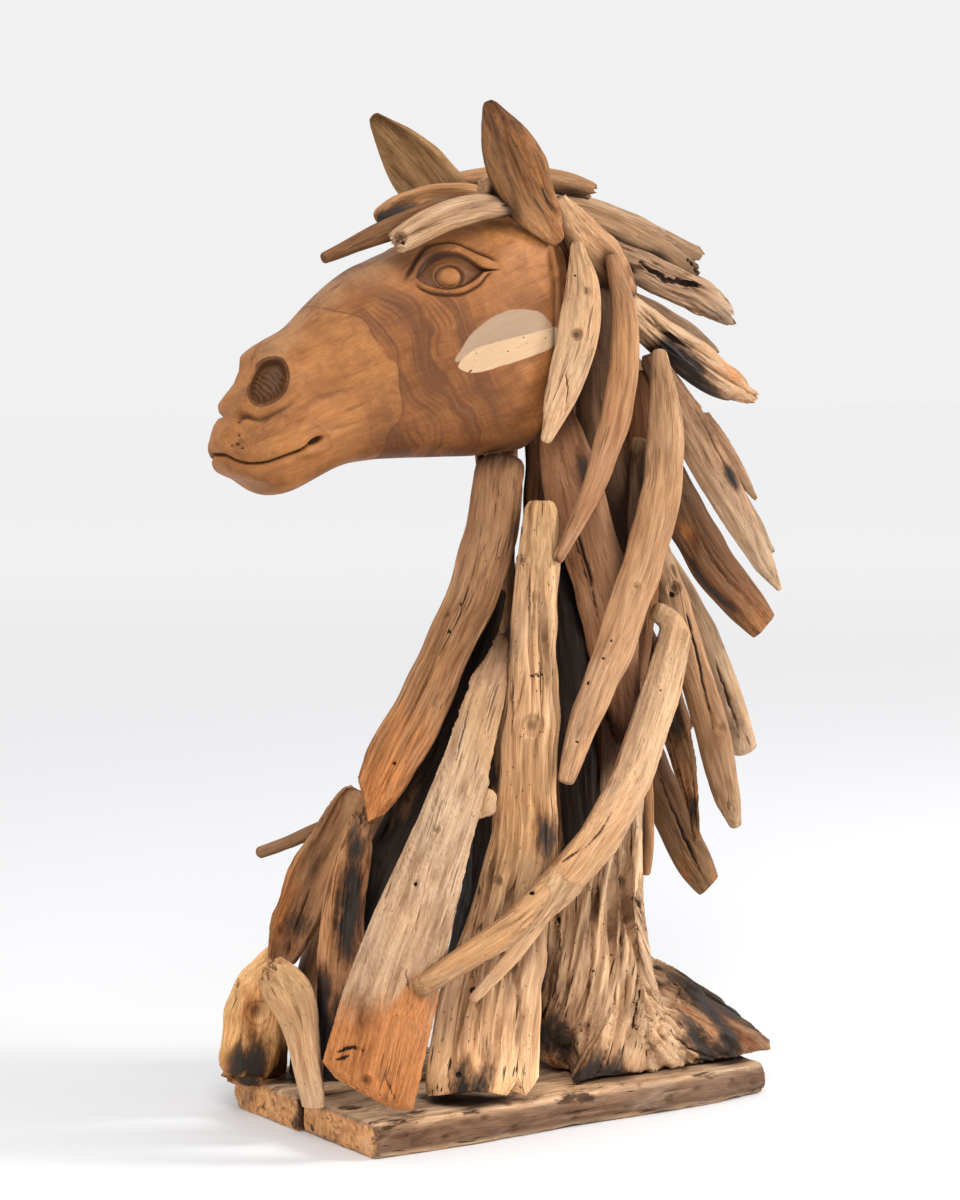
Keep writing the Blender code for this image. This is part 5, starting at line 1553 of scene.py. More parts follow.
        ("ridge", 10, 0.7, (-246, 86, 140), (-234, 66, 128), (-222, 58, 86)),
    ),
    "neck_slat_wide": (
        ("char", 8, 0.7, (67, -84, 640), (72, -88, 623)), ("char", 4, 0.8, (44, -61, 587)),
        ("split", 0.8, 0.5, (60, -71, 553), (73, -79, 523)),
        ("split", 1.4, 0.8, (47, -71, 633), (71, -82, 553), (84, -85, 493)),
        ("split", 1.2, 0.7, (59, -76, 583), (76, -83, 523)),
    ),
    "crest_pale": (
        ("fresh", 6, 0.6, (127, -76, 621)),
    ),
    "root_trunk_left": (
        ("char", 12, 0.8, (75, -45, 276), (73, -45, 267)),
        ("char", 12, 0.9, (34, -56, 79), (46, -71, 68), (54, -77, 58)),
        ("char", 12, 0.8, (42, -46, 153), (38, -52, 124)),
        ("char", 12, 0.9, (38, -111, 40), (66, -116, 39), (91, -115, 34)),
        ("dark", 14, 0.6, (48, -72, 111)), ("dark", 10, 0.6, (71, -92, 111), (77, -100, 92)),
        ("groove", 2, 1, (86, -81, 225), (81, -86, 180)),
        ("groove", 2.8, 1, (122, -84, 300), (118, -90, 190), (126, -105, 115)),
        ("groove", 2.4, 1, (104, -84, 250), (98, -92, 170), (90, -105, 100)),
        ("groove", 2.6, 1, (138, -80, 250), (146, -90, 165), (168, -108, 105)),
        ("dark", 10, 0.7, (110, -88, 230), (106, -96, 160), (108, -108, 110)),
        ("dark", 8, 0.7, (142, -84, 210), (152, -96, 150)),
        ("split", 1.5, 1, (149, -117, 75), (176, -121, 54), (210, -123, 36)),
        ("knot", 8, 1, (57, -47, 201)), ("dark", 45, 1.2, (205, -75, 100), (232, -90, 75), (262, -110, 50)),
        ("char", 13, 0.8, (205, -70, 108), (240, -80, 82), (272, -105, 55)),
        ("fresh", 14, 0.8, (188, -98, 86), (205, -108, 64)),
        ("fresh", 16, 0.7, (225, -110, 70), (255, -118, 50)),
        ("ridge", 7, 1, (205, -66, 110), (149, -117, 78), (117, -118, 62)),
        ("dark", 30, 1, (224, -85, 92), (223, -119, 67), (251, -125, 43)),
        ("char", 12, 0.9, (222, -63, 108), (222, -89, 90), (226, -123, 60)),
        ("char", 12, 0.8, (177, -119, 67), (206, -123, 44)),
        ("ridge", 14, 0.6, (165, -70, 135), (215, -75, 112), (262, -95, 70), (292, -115, 45)),
        ("groove", 2.4, 0.8, (86, -50, 256), (61, -57, 203), (45, -56, 144)),
        ("groove", 2.6, 0.9, (96, -60, 257), (70, -79, 180), (50, -75, 111), (40, -63, 69)),
        ("groove", 2.4, 0.8, (98, -89, 230), (95, -96, 175), (81, -99, 111), (52, -114, 57)),
        ("groove", 2.6, 0.8, (112, -100, 205), (118, -112, 150), (131, -120, 104)),
        ("groove", 2, 0.8, (82, -93, 151), (60, -86, 101), (50, -72, 54)),
        ("groove", 2, 0.7, (99, -104, 151), (96, -111, 101), (80, -117, 52)),
        ("groove", 2, 0.7, (49, -62, 149), (40, -63, 110), (36, -55, 68)),
    ),
    "chest_stub": (
        ("dark", 4, 0.5, (-178, 76, 276)),
    ),
    "crest_brown": (
        ("split", 1.2, 0.8, (176, -52, 690), (171, -56, 609)),
    ),
    "crest_inner": (
        ("split", 1.4, 0.8, (99, -67, 711), (106, -69, 641)),
    ),
}
stickLooks = {  # what differs from stickDefaults
    "ear_left": dict(
        tones=((0, 23, 10.5, 4), (60, 27, 12.5, 4.6), (85, 42, 19.5, 7.8)), contrast=2.2, soft=0.002,
        start=("worn", 0.5), longer=(9, 0), hollow=(0.003, -0.1, 0.9, 0.7), moved=(5.8, -1.5, 0),
        width=1.06,
    ),
    "ear_right": dict(
        tones=((0, 28, 16, 6.5), (50, 40, 24, 11), (100, 48, 32, 18)), contrast=0.6, soft=0.002,
        start=("worn", 0.5), longer=(9, 0), moved=(12, -5.5, 2), width=1.05, thicker=1.12,
        relief={"Groove Depth": 0.0002, "Pit Depth": 0, "Crack Amount": 0}, face=(-0.8, -0.6, 0),
        hollow=(0.009, -0.1, 1.2, 0.85),
    ),
    "poll_wedge": dict(tones=((0, 60, 36, 20), (100, 62, 36, 19)), thicker=1.15),
    "poll_stick": dict(tones=((0, 50, 28, 14), (100, 38, 21, 10.5)), thicker=1.2, end=("torn", 0.01)),
    "forelock_pale": dict(
        tones=((0, 44, 28, 17), (50, 60, 38, 22), (100, 60, 37, 21)), end=("torn", 0.006),
        relief={"kind": "ridged", "Groove Depth": 0.0012, "Lump Depth": 0.002},
    ),
    "forelock_long": dict(tones=((0, 30, 15, 7), (100, 20, 9.5, 4)), thicker=1.4, end=("worn", 0.3)),
    "forelock_hollow": dict(tones=((0, 48, 25, 11), (100, 54, 29, 13)), hollow=(0.007, 0.25, 0.95, 0.7)),
    "cheek_lock_left": dict(
        tones=((0, 62, 38, 21), (50, 66, 42, 24), (100, 72, 47, 29)),
        relief={"Lump Depth": 0.0012, "Groove Depth": 0.0003, "Crack Amount": 0.1},
    ),
    "crest_slat": dict(
        tones=((0, 70, 44, 25), (60, 50, 26, 12), (100, 54, 31, 17)), thicker=1.32, moved=(-9, 3, -5),
        longer=(12, 0), soft=0.002, start=("sawn", 0.004),
    ),
    "mane_broken_end": dict(
        tones=((0, 52, 30, 15), (50, 38, 22.5, 11.5), (100, 26, 15, 7.5)), end=("torn", 0.012),
        moved=(-1, 0, -7),
    ),
    "mane_poll_right": dict(
        tones=((0, 50, 33, 20), (100, 38, 23, 13)), end=("torn", 0.012), moved=(0, 0, -6),
    ),
    "mane_torn": dict(
        tones=((0, 34, 20, 11), (60, 44, 27, 16), (100, 46, 33, 23)), end=("torn", 0.03),
        relief={"kind": "torn"},
    ),
    "mane_split": dict(
        tones=((0, 70, 46, 28), (50, 62, 42, 26), (100, 62, 38, 21)), end=("torn", 0.014),
        relief={"kind": "ridged"}, moved=(-3, 2, -6),
    ),
    "mane_grey": dict(tones=((0, 28, 15, 8), (100, 38, 25, 15)), end=("torn", 0.012), moved=(0, 0, -5)),
    "lock_left_upper": dict(
        tones=((0, 36, 17.5, 8), (30, 52, 27, 12.5), (60, 46, 24, 12), (100, 44, 23, 12)),
        relief={"Lump Depth": 0.0016, "Groove Depth": 0.0003, "Crack Amount": 0.03}, contrast=0.65,
        flare=(1, 0.74),
    ),
    "lock_left_lower": dict(
        tones=((0, 50, 31, 17), (30, 54, 30, 15), (60, 54, 30, 15.5), (100, 66, 40, 23)),
        relief={"Lump Depth": 0.0018, "Groove Depth": 0.0004, "Crack Amount": 0.04}, contrast=0.65,
        flare=(1, 0.8),
    ),
    "branch_forked": dict(
        tones=(
            (0, 60, 38, 21), (20, 74, 47, 27), (40, 70, 43, 24), (60, 62, 35, 17), (80, 58, 32, 15),
            (100, 48, 26, 12),
        ),
        merged=0.0023,
        paths=(
            (
                (171, -103, 486), (134, -118, 412), (80, -132, 317), (20, -143, 262), (-50, -152, 218),
                (-115, -157, 190), (-181, -158, 162),
            ),
            ((-10, -146, 240), (-48, -153, 200), (-82, -156, 170), (-117, -157, 144)),
        ),
        relief={"Lump Depth": 0.0016, "Groove Depth": 0.0004, "Crack Amount": 0.15},
    ),
    "neck_post_left": dict(
        tones=(
            (0, 60, 34, 16), (35, 74, 47, 27), (50, 64, 37, 18), (62, 62, 38, 20), (72, 58, 34, 18),
            (85, 92, 58, 33), (100, 94, 56, 28),
        ),
        end=("outline", ((-1, 0.024), (-0.8, 0), (-0.66, 0.026), (-0.45, 0.004), (0.1, 0.01), (1, 0))),
        relief={
            "kind": "ridged", "Groove Depth": 0.0032, "Groove Spacing": 0.012, "Lump Depth": 0.005,
            "Crack Depth": 0.004, "Crack Amount": 0.34, "Wave": 0.007,
        },
        soft=0.0028, longer=(11, 0), contrast=1.7, flare=(1, 1.2),
    ),
    "shoulder_plank_left": dict(
        tones=(
            (0, 46, 26, 14), (15, 58, 36, 20), (30, 66, 44, 27), (60, 62, 41, 25), (80, 60, 39, 24),
            (90, 52, 27, 13), (100, 50, 24, 10),
        ),
        merged=0.0028,
        paths=(
            (
                (-30, -80, 484), (-64, -92, 422), (-101, -106, 339), (-152, -118, 239), (-194, -126, 149),
                (-222, -128, 62),
            ),
        ),
        relief={"Groove Depth": 0.0006, "Crack Amount": 0.28, "Lump Depth": 0.0026}, moved=(2.5, -1.7, 0),
    ),
    "throat_slat_left": dict(
        tones=(
            (0, 32, 16, 7.5), (30, 45, 24, 12), (50, 42, 21.5, 10), (78, 42, 20, 8.5), (100, 54, 25, 10),
        ),
        end=("outline", ((-1, 0.016), (-0.3, 0), (1, 0.04))),
        relief={"Groove Depth": 0.0011, "Crack Amount": 0.35}, width=0.72, flare=(1.5, 1.05),
        moved=(-9, 4, 0), start=("worn", 0.9), soft=0.0028, contrast=1.15,
    ),
    "throat_slat_right": dict(tones=((0, 40, 21, 10), (100, 50, 28, 13)), moved=(12, -8, 0)),
    "neck_slat_wide": dict(tones=((0, 36, 16, 7.2), (50, 46, 23.5, 11.8), (100, 40, 19, 9.5))),
    # a dark stick painted near black: its own dark wood and the painted shade of the deep gap it fills beside
    # the neck post
    "neck_post_dark": dict(tones=((0, 4.5, 3.2, 2.6), (100, 3.5, 2.7, 2.3))),
    "crest_brown": dict(tones=((0, 34, 16, 7.5), (100, 44, 22, 10.5))),
    "crest_pale": dict(tones=((0, 66, 40, 21), (100, 50, 29, 15))),
    "crest_inner": dict(tones=((0, 30, 16, 8), (100, 24, 12, 6))),
    "crest_spine": dict(tones=((0, 42, 23, 12), (100, 48, 28, 15.5))),
    "chest_slat_grooved": dict(
        tones=((0, 50, 27, 13), (30, 58, 29, 13), (70, 52, 26, 12), (100, 18, 9, 4.5)),
        relief={
            "kind": "ridged", "Groove Depth": 0.0038, "Groove Spacing": 0.011, "Wave": 0.002,
            "Crack Amount": 0.6,
        },
        start=("torn", 0.012), moved=(-4, 0, 0),
    ),
    "chest_slat_hollow": dict(
        tones=((0, 46, 25, 12), (50, 36, 18, 8), (100, 32, 15, 6.5)), hollow=(0.013, -0.1, 1.1, 0.75),
        relief={"kind": "torn", "Lump Depth": 0.003}, moved=(-7, 0, 2),
    ),
    "charred_plank": dict(
        tones=((0, 4, 2.8, 2.2), (100, 3, 2.2, 1.8)),
        relief={"kind": "ridged", "Groove Depth": 0.0014, "Pit Depth": 0.0008}, contrast=0.3,
    ),
    "charred_strip": dict(tones=((0, 3, 2.3, 2), (100, 3, 2.3, 2)), contrast=0.3),
    "chest_root": dict(
        tones=((0, 68, 39, 18), (50, 72, 45, 25), (100, 76, 49, 29)),
        relief={"kind": "ridged", "Groove Depth": 0.002, "Lump Depth": 0.004}, flare=(1.45, 0.85),
        start=("torn", 0.014), contrast=1.3, moved=(-7, 4, 0),
    ),
    "chest_burl": dict(
        tones=((0, 98, 60, 28), (60, 100, 57, 24), (85, 100, 52, 20), (100, 36, 17, 6)), flare=(0.74, 1.1),
        contrast=1,
        relief={
            "kind": "torn", "Lump Depth": 0.006, "Lump Size": 0.03, "Wave": 0.02, "Groove Depth": 0.0016,
            "Crack Amount": 0.25, "Pit Depth": 0,
        },
        moved=(-6, 0, 0), width=1.07,
    ),
    "chest_stub": dict(tones=((0, 20, 10, 4.5), (100, 32, 17, 8.5))),
    "root_trunk_left": dict(
        tones=((0, 60, 38, 22), (50, 76, 50, 30), (70, 84, 55, 33), (85, 72, 46, 27), (100, 62, 38, 21)),
        merged=0.0031,
        paths=(
            (
                (113, -60, 468), (118, -62, 346), (108, -64, 245), (96, -68, 170), (80, -70, 110),
                (50, -74, 36),
            ),
            ((150, -60, 190), (180, -66, 130), (220, -85, 88), (281, -120, 40)),
        ),
        relief={
            "kind": "ridged", "Groove Depth": 0.0054, "Groove Spacing": 0.015, "Lump Depth": 0.005,
            "Wave": 0.01, "Crack Amount": 0.55,
        },
        contrast=2.2,
    ),
    "root_trunk_right": dict(
        tones=((0, 40, 24, 13), (100, 48, 29, 16)),
        relief={"kind": "ridged", "Groove Depth": 0.0036, "Groove Spacing": 0.014, "Wave": 0.008},
    ),
    "root_strip": dict(tones=((0, 37, 21, 10), (100, 50, 33, 19)), relief={"kind": "ridged"}),
    "mane_forked": dict(
        tones=((0, 34, 19, 10), (40, 50, 30, 17), (100, 60, 42, 27)), merged=0.0021,
        paths=(
            ((180, -58, 766), (240, -59, 679), (285, -60, 613), (326, -60, 555), (355, -60, 517)),
            ((256, -54, 694), (288, -46, 665), (320, -40, 633), (340, -38, 612)),
        ),
        moved=(-9, 6, -8),
    ),
    "mane_spine_tip": dict(tones=((0, 36, 21, 11), (100, 40, 27, 17)), end=("torn", 0.01)),
    "mane_blunt": dict(
        tones=((0, 21, 10.5, 5), (85, 25, 12, 5.5), (100, 40, 20, 8)), end=("sawn", 0.008), soft=0.0028,
        moved=(-6, 4, -7), longer=(0, 14),
    ),
    "mane_hooked": dict(
        tones=((0, 46, 28, 16), (30, 56, 34, 19), (60, 40, 22, 11), (100, 50, 33, 20)), moved=(-4, 3, -2),
    ),
    "mane_flat": dict(
        tones=((0, 56, 38, 24), (60, 56, 37, 22), (100, 54, 37, 24)), end=("sawn", 0.01), moved=(-4, 3, -3),
    ),
    "mane_ragged": dict(
        tones=((0, 22, 12, 6), (100, 32, 17, 8)), merged=0.002,
        paths=(((190, -20, 476), (226, -22, 405), (242, -22, 350), (258, -22, 300), (268, -22, 242)),),
        relief={"kind": "torn"}, moved=(-4, 3, 0),
    ),
    "mane_low": dict(
        tones=((0, 15, 7.5, 3.5), (60, 20, 10, 4.5), (100, 34, 20, 10)), end=("sawn", 0.012),
        moved=(-4, 2, -4), longer=(0, 5),
    ),
    "mane_thin": dict(tones=((0, 50, 28, 14), (100, 46, 24, 11))),
    "lock_right_lower": dict(tones=((0, 58, 35, 19), (100, 64, 41, 24))),
    "lock_right_upper": dict(tones=((0, 44, 23, 11), (100, 50, 28, 14))),
    "shoulder_plank_right": dict(tones=((0, 50, 29, 15), (60, 60, 38, 22), (100, 52, 28, 13)), soft=0.0028),
    "neck_post_right": dict(relief={"kind": "ridged", "Groove Depth": 0.0016}, soft=0.0015),
    "mane_right_upper": dict(end=("torn", 0.016)),
    "mane_right_middle": dict(end=("torn", 0.012)),
    "mane_right_lower": dict(end=("sawn", 0.01)),
    "base_board_left": dict(
        tones=((0, 80, 55, 34), (40, 70, 47, 29), (100, 64, 44, 28)), contrast=1.4,
        sideTone=(22, 12.5, 7.5), endTone=(84, 43, 18), merged=0.0038,
        paths=(((-220, -79, 17), (0, -79, 17), (240, -79, 17)),), face=(0, 0, 1), longer=(0, 13),
        relief={"kind": "bark"},
    ),
    "base_board_right": dict(
        tones=((0, 76, 51, 31), (100, 62, 42, 26)), contrast=1.4, sideTone=(27, 15.5, 9),
        endTone=(84, 43, 18), merged=0.0038, paths=(((-220, 64, 17), (0, 64, 17), (240, 64, 17)),),
        face=(0, 0, 1), longer=(10, 0), relief={"kind": "bark"},
    ),
}


def endCut(kind, amount, grid, chance, atStart):
    columns = grid["places"].shape[1]
    if kind == "torn":
        return amount * jagged(columns, chance, max(6, columns // 9), 1.3)
    if kind == "sawn":  # slanted flat cut
        turn = np.arange(columns) / columns
        return amount * (0.5 + 0.5 * np.cos(2 * math.pi * (turn - chance.random())))
    if kind == "outline":  # share across the stick, length taken off there
        side = grid["grain"][0 if atStart else -1, :, 0]
        side = 2 * (side - side.min()) / (side.max() - side.min()) - 1
        shares, cuts = zip(*amount)
        return np.interp(side, shares, cuts) + 0.0015 * jagged(columns, chance, 14)
    return None


def hollowed(grid, depth, start, finish, half):  # a long recess in the front
    local = grid["grain"]
    rows = len(local)
    along = np.linspace(0, 1, rows)[:, None]
    side = local[..., 0]
    middle = (side.max(1) + side.min(1))[:, None] / 2
    wide = (side.max(1) - side.min(1))[:, None] / 2
    across = np.clip(np.abs(side - middle) / (wide * half), 0, 1)
    front = local[..., 1]
    facing = smoothStep(front - (front.max(1) + front.min(1))[:, None] / 2, 0.0, 0.003)
    blend = smoothStep(along, start, start + 0.12) * (1 - smoothStep(along, finish - 0.12, finish))
    push = depth * (1 - across**2) * facing * blend
    grid["places"] = grid["places"] - grid["front"][:, None] * push[..., None]


def lengthened(places, middle, along, look):  # longer and wider towards the ends
    first, last = np.clip(1 - along / 0.35, 0, 1), np.clip(along / 0.35 - 1.857, 0, 1)
    if look["flare"] != (1.0, 1.0):
        start, end = look["flare"]
        width = 1 + (start - 1) * np.clip(1 - along * 2, 0, 1) + (end - 1) * np.clip(along * 2 - 1, 0, 1)
        places = middle[:, None] + (places - middle[:, None]) * width
    more = look["longer"]
    places = places + unit(middle[0] - middle[3]) * more[0] * first
    return places + unit(middle[-1] - middle[-4]) * more[1] * last


def swayed(grid, amount, chance):  # gentle bends and swellings
    places, length = grid["places"], grid["length"]
    share = np.linspace(0, 1, len(places))
    wide = np.linalg.norm(places - places.mean(1, keepdims=True), axis=2).mean()
    waves = max(1.0, length / 0.12)

    def drift(power):
        total = np.zeros(len(places))
        for n in (0.6, 1.0, 1.7, 2.6):
            total += np.sin(2 * math.pi * (n * waves * share + chance.random())) / n**power
        return total * np.sin(math.pi * np.clip(share, 0.02, 0.98)) ** 0.5

    side = grid["grain"][..., :1] - grid["grain"][..., :1].mean(1, keepdims=True)
    side = side / np.abs(side).max()
    middle = places.mean(1, keepdims=True)
    swell = 1 + 0.045 * amount * drift(0.5)[:, None, None] + 0.04 * amount * drift(0.3)[:, None, None] * side
    shift = grid["across"] * drift(1.0)[:, None] + 0.4 * grid["front"] * drift(1.0)[:, None]
    grid["places"] = middle + (places - middle) * swell + (shift * 0.07 * amount * wide)[:, None]


def rounded(grid, amount, atStart):  # worn round end
    places = grid["places"]
    wide = np.linalg.norm(places - places.mean(1, keepdims=True), axis=2).mean() * 2
    along = grid["grain"][:, 0, 2]
    far = along - along[0] if atStart else along[-1] - along
    reach = max(0.003, 0.5 * wide * amount)
    left = 1 - np.clip(far / reach, 0, 1)
    narrow = 1 - 0.62 * amount
    scale = narrow + (1 - narrow) * np.sqrt(1 - left**2)
    middle = places.mean(1, keepdims=True)
    grid["places"] = middle + (places - middle) * scale[:, None, None]


def denserEnds(grid):
    rows, columns = grid["places"].shape[:2]
    first = np.array([0, 0.12, 0.3, 0.55])
    steps = np.concatenate([first, np.arange(1, rows - 1), rows - 1 - first[::-1]])
    share = np.repeat(steps[:, None], columns, 1)
    grid["places"], grid["grain"] = atShares(grid["places"], share), atShares(grid["grain"], share)


def gridStick(name, look, chance):
    measured = measuredStick(name, look, 20, 48)
    ahead = np.roll(measured["places"], -1, axis=1)
    girth = lengths(ahead - measured["places"]).sum(1).max()
    columns = max(24, int(girth / look["across"]))
    rows = max(16, int(measured["length"] / look["along"]))
    grid = measuredStick(name, look, rows, columns)
    middle = grid["places"].mean(1, keepdims=True)
    grid["places"] = middle + (grid["places"] - middle) * look["thicker"] + look["moved"]
    if look["width"] != 1.0:
        side = ((grid["places"] - middle) * grid["across"][:, None]).sum(2, keepdims=True)
        grid["places"] = grid["places"] + side * grid["across"][:, None] * (look["width"] - 1)
    along = np.linspace(0, 1, len(middle))[:, None, None]
    grid["places"] = lengthened(grid["places"], middle[:, 0], along, look)
    if look["sway"] > 0:
        swayed(grid, look["sway"], chance)
    if look["hollow"]:
        hollowed(grid, *look["hollow"])
    startCut = endCut(*look["start"], grid, chance, True)
    shapeEnds(grid, startCut, endCut(*look["end"], grid, chance, False))
    denserEnds(grid)
    if look["start"][0] == "worn":
        rounded(grid, look["start"][1], True)
    if look["end"][0] == "worn" and not grid["footed"]:
        rounded(grid, look["end"][1], False)
    roughness = {"worn": 0.0006, "torn": 0.004, "sawn": 0.0003, "outline": 0.002}
    mesh = meshFromGrid(name, grid, roughness[look["start"][0]], roughness[look["end"][0]], chance)
    return addPiece(name + "_wood", mesh), grid["length"]


def mergedStick(name, look):
    points, faces = cornersOf(name)
    mesh = bpy.data.meshes.new(name)
    mesh.from_pydata(points.tolist(), [], faces.tolist())
    obj = addPiece(name + "_wood", mesh)
    remesh = obj.modifiers.new("remesh", "REMESH")
    remesh.mode = "VOXEL"
    remesh.voxel_size = look["merged"]
    bake(obj)
    mesh = obj.data
    points = relaxed(readPoints(mesh), mesh, 5) + look["moved"]
    movePoints(mesh, points)
    normals = readPoints(mesh, "normal")
    face = np.array(look["face"])
    nearest = np.full(len(points), 9.0)
    grain = np.zeros((len(points), 3))
    endness = np.zeros(len(points))
    for number, path in enumerate(look["paths"]):
        line = alongLine(smoothRows(alongLine(path, 60), 2.0), 60) + look["moved"]
        tangents = unit(np.gradient(line, axis=0))
        length = lineLength(line)
        distance = lengths(points[:, None] - line[None])
        at = distance.argmin(1)
        far = distance[np.arange(len(points)), at] * (1.0 if number == 0 else 0.75)
        offset = points - line[at]
        across, front = (axes[at] for axes in planeAxes(tangents, face))
        along = at / 59 * length + (offset * tangents[at]).sum(1)
        local = np.column_stack([(offset * across).sum(1), (offset * front).sum(1) + 0.3 * number, along])
        tip = (np.abs((normals * tangents[at]).sum(1)) > 0.8) & ((at < 2) | (at > 57))
        nearer = far < nearest
        nearest[nearer] = far[nearer]
        grain[nearer] = local[nearer]
        endness[nearer] = tip[nearer]
    storeValues(mesh, "grain", grain)
    storeValues(mesh, "endness", endness)
    first = alongLine(look["paths"][0], 40)
    if look["longer"].any():
        share = toLine(points, first)[1][:, None]
        points = lengthened(points, first, share, look)
        movePoints(mesh, points)
    return obj, lineLength(first)


def onSurface(place, points, normals):
    nearest = np.argmin(((points - place) ** 2).sum(1))
    normal = normals[nearest]
    return place + normal * ((points[nearest] - place) @ normal)


def markLine(spots, points, normals):
    spots = np.array([onSurface(spot, points, normals) for spot in spots])
    if len(spots) == 1:
        return np.concatenate([spots, spots + 1e-6])
    line = curveThrough(spots, 9 * len(spots))
    wander = np.sin(np.arange(len(line)) * 1.9)[:, None] + np.sin(np.arange(len(line)) * 0.83 + 1.0)[:, None]
    return line + wander * np.array([0.0003, -0.0001, 0.0004])


def addMarks(obj, marks):  # knots, holes, splits and stains at their own places, with painted shade in the hollows they make
    mesh = obj.data
    shaped = [mark for mark in marks if mark[0] in ("knot", "hole", "dent", "split", "groove", "ridge")]
    for reach in (0.003, 0.0012):
        fine = [mark for mark in shaped if reach > 0.002 or mark[0] not in ("groove", "ridge")]
        if not fine:
            break
        lines = [(mark[3], mark[1]) for mark in fine]

        def wanted(centres):
            near = np.zeros(len(centres), dtype=bool)
            for line, radius in lines:
                line = np.concatenate([line, line[-1:] + 1e-6])
                near |= toLine(centres, line)[0] < radius * 1.3 + reach
            return near

        refine(mesh, wanted)
        mesh.update()
    points, normals = readPoints(mesh), readPoints(mesh, "normal")
    layers = {layer: np.zeros(len(points)) for layer in ("fresh", "char", "dark", "knot", "crack", "recessShade")}
    depth = np.zeros(len(points))

    def cover(layer, values):
        layers[layer] = np.maximum(layers[layer], values)

    axis = np.linalg.svd(points[::7] - points.mean(0), full_matrices=False)[2][0]
    stretch = np.identity(3) - 0.55 * np.outer(axis, axis)
    for kind, radius, strength, spots in marks:
        line = markLine(spots, points, normals)
        if kind in ("fresh", "char", "dark"):
            far = toLine(points @ stretch, line @ stretch)[0]
            spread = np.clip(1.08 - 0.5 * far / radius, 0, 1)
            cover(kind, strength * spread)
            continue
        far, share = toLine(points, line)
        near = far / radius
        if kind == "knot":
            depth += strength * radius * (0.34 * mound(near - 1.2, 0.5) - 0.42 * mound(near, 0.55))
            cover("knot", strength * mound(near, 0.62))
            # painted shade in the ring round the knot
            cover("recessShade", 0.8 * strength * mound(near - 0.85, 0.16))
            cover("dark", 0.6 * strength * mound(near, 1.4))
        elif kind == "hole":
            depth -= strength * 1.6 * radius * mound(near, 0.8)
            # painted shade inside the hole
            cover("crack", 1 - smoothStep(near, 0.5, 1.0))
        elif kind == "dent":
            depth -= strength * 0.6 * radius * mound(near, 1.0)
            # painted shade in the dent
            cover("dark", 0.7 * strength * mound(near, 1.0))
        elif kind == "groove":
            taper = np.sin(math.pi * np.clip(share, 0.02, 0.98)) ** 0.6
            depth -= strength * 1.5 * radius * taper * mound(near, 0.9)
            # painted shade in the groove
            cover("recessShade", strength * taper * mound(near, 0.8))
            cover("dark", 0.75 * strength * taper * mound(near, 1.0))
        elif kind == "ridge":
            taper = np.sin(math.pi * np.clip(share, 0.05, 0.95)) ** 0.5
            depth += strength * radius * 0.7 * mound(near, 0.8) * taper
        elif kind == "split":
            wide = max(0.6 * radius, 0.0005) * (0.25 + np.sin(math.pi * np.clip(share, 0.02, 0.98)))
            depth -= strength * max(2.0 * radius, 0.0022) * mound(far, wide + 0.0003)
            # painted shade inside the split, and a darker band along it
            cover("crack", strength * (1 - smoothStep(far / wide, 0.5, 1.1)))
            cover("dark", 0.35 * strength * mound(far, 2.5 * wide + 0.0005))
    points += normals * depth[:, None]
    movePoints(mesh, points)
    for layer, values in layers.items():
        storeValues(mesh, layer, np.clip(values, 0, 1.2))


def solidsWithout(name):  # every other solid of the sculpture, for finding gaps and joints
    corners, triangles, count = [], [], 0
    for other in nodeSlots:
        if other == name:
            continue
        points, faces = cornersOf(other)
        corners.append(points)
        triangles.append(faces + count)
        count += len(points)
    corners, triangles = np.concatenate(corners), np.concatenate(triangles)
    return BVHTree.FromPolygons(corners.tolist(), triangles.tolist())


# settings for measuring the painted shade between sticks and the dark joints where they touch
paintedShadeAndJoints = {"reach": 0.07, "jointReach": 0.012, "samples": 560, "rays": 12}


def skyDirections(count):
    turns = np.arange(count) * 2.399963  # the golden angle spreads them evenly
    rise = np.sqrt(1 - (np.arange(count) + 0.5) / count)
    flat = np.sqrt(1 - rise**2)
    return np.column_stack([flat * np.cos(turns), flat * np.sin(turns), rise])


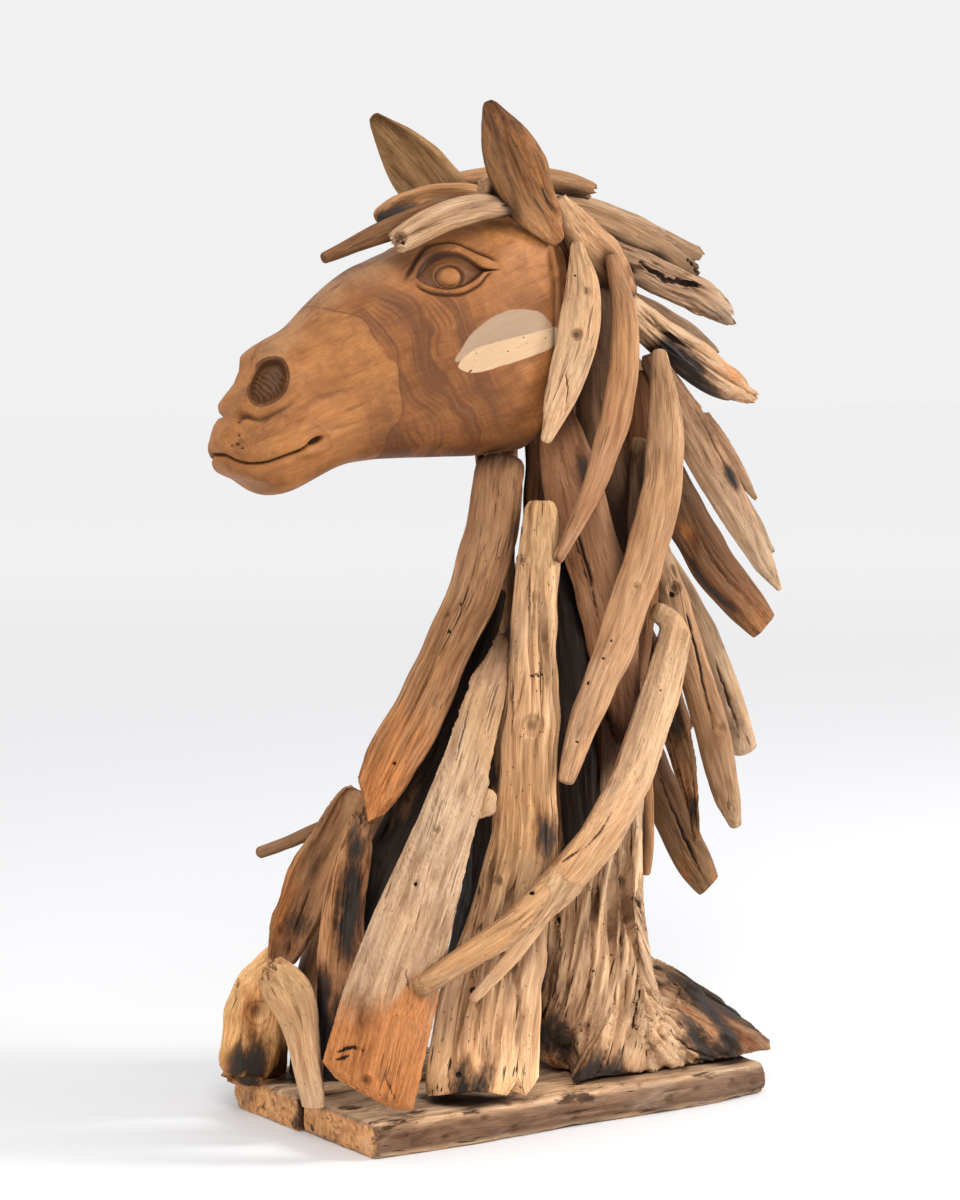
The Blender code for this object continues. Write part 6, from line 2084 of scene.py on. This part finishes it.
def addPaintedShadeAndJoints(name, obj):  # how closed in each place is by the neighbouring solids, for the painted shade between sticks, and how near they are, for the dark joints
    mesh = obj.data
    points, normals = readPoints(mesh), readPoints(mesh, "normal")
    others = solidsWithout(name)
    reach, jointReach = paintedShadeAndJoints["reach"], paintedShadeAndJoints["jointReach"]
    count = min(len(points), paintedShadeAndJoints["samples"])
    chosen = np.random.default_rng(7).permutation(len(points))[:count]
    sky = skyDirections(paintedShadeAndJoints["rays"])
    shade, joint = np.zeros(count), np.zeros(count)
    for i, k in enumerate(chosen):
        normal = Vector(normals[k])
        turn = normal.to_track_quat("Z", "Y").to_matrix()
        start = Vector(points[k]) + normal * 0.002
        rays = sky @ np.array(turn).T
        for ray in rays:
            distance = others.ray_cast(start, Vector(ray), reach)[3]
            if distance is not None:
                shade[i] += 1 - 0.7 * distance / reach
        near = others.find_nearest(Vector(points[k]), jointReach)[3]
        joint[i] = 0 if near is None else 1 - near / jointReach
    shade /= len(sky)
    asked = np.concatenate([points, normals * 0.012], 1)  # places that face the same way count as near
    known = asked[chosen]
    spacing = math.sqrt(len(points)) * 0.00009 + 0.0045
    full = np.zeros((len(points), 2))
    values = np.column_stack([shade, joint])
    for first in range(0, len(points), 4000):
        part = asked[first : first + 4000]
        gap = (part**2).sum(1)[:, None] + (known**2).sum(1)[None] - 2 * part @ known.T
        gap -= gap.min(1)[:, None]
        weight = np.exp(-gap / (2 * spacing**2))
        full[first : first + 4000] = weight @ values / weight.sum(1)[:, None]
    storeValues(mesh, "shade", full[:, 0])
    storeValues(mesh, "joint", full[:, 1])


def addTones(mesh, tones, length, look):
    share = readGrain(mesh)[:, 2] / length
    tones = np.array(tones) / 100
    stops, colours = tones[:, 0], tones[:, 1:]
    tone = np.column_stack([np.interp(share, stops, colours[:, n]) for n in range(3)])
    if look["sideTone"]:
        normals = readPoints(mesh, "normal")
        side = (1 - smoothStep(np.abs(normals[:, 2]), 0.5, 0.75))[:, None]
        end = smoothStep(np.abs(normals[:, 0]), 0.75, 0.9)[:, None]
        tone = tone + (np.array(look["sideTone"]) / 100 - tone) * side
        tone = tone + (np.array(look["endTone"]) / 100 - tone) * end
    storeValues(mesh, "tone", tone)
    storeValues(mesh, "contrast", np.full(len(mesh.vertices), look["contrast"]))


def makeStick(name):
    wood = woodOfSlot[nodeSlots[name]]
    look = {**stickDefaults, **stickLooks.get(name, {})}
    look["moved"], look["longer"] = np.array(look["moved"]) / 1000, np.array(look["longer"]) / 1000
    look["paths"] = [np.array(path) / 1000 for path in look["paths"]]
    chance = random.Random(name)
    if look["merged"]:
        obj, length = mergedStick(name, look)
    else:
        obj, length = gridStick(name, look, chance)
    addTones(obj.data, look["tones"] or woodTones[wood], length, look)
    shift = np.array([chance.uniform(0, 4) for _ in range(3)])
    storeValues(obj.data, "grain", readGrain(obj.data) + shift)
    marks = []
    for kind, radius, strength, *places in stickMarks.get(name, ()):
        marks.append((kind, radius / 1000, strength, np.array(places) / 1000))
    addMarks(obj, marks)
    addPaintedShadeAndJoints(name, obj)
    kind = look["relief"].get("kind", "ridged" if wood == "charred" else "smooth")
    relief = {**reliefInputs, **reliefKinds[kind], **look["relief"], "Material": woods[wood]}
    finishWith(obj, reliefTree, relief)
    obj.data.set_sharp_from_angle(angle=math.radians(look["sharpAngle"]))
    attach(obj, "root")
    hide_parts(name)
    return obj


makeHead()
sticks = [makeStick(name) for name in sorted(nodeSlots) if name != "head"]
print("sticks ready:", sum(countTriangles(obj) for obj in sticks), "triangles")

addStudio()
addCamera()
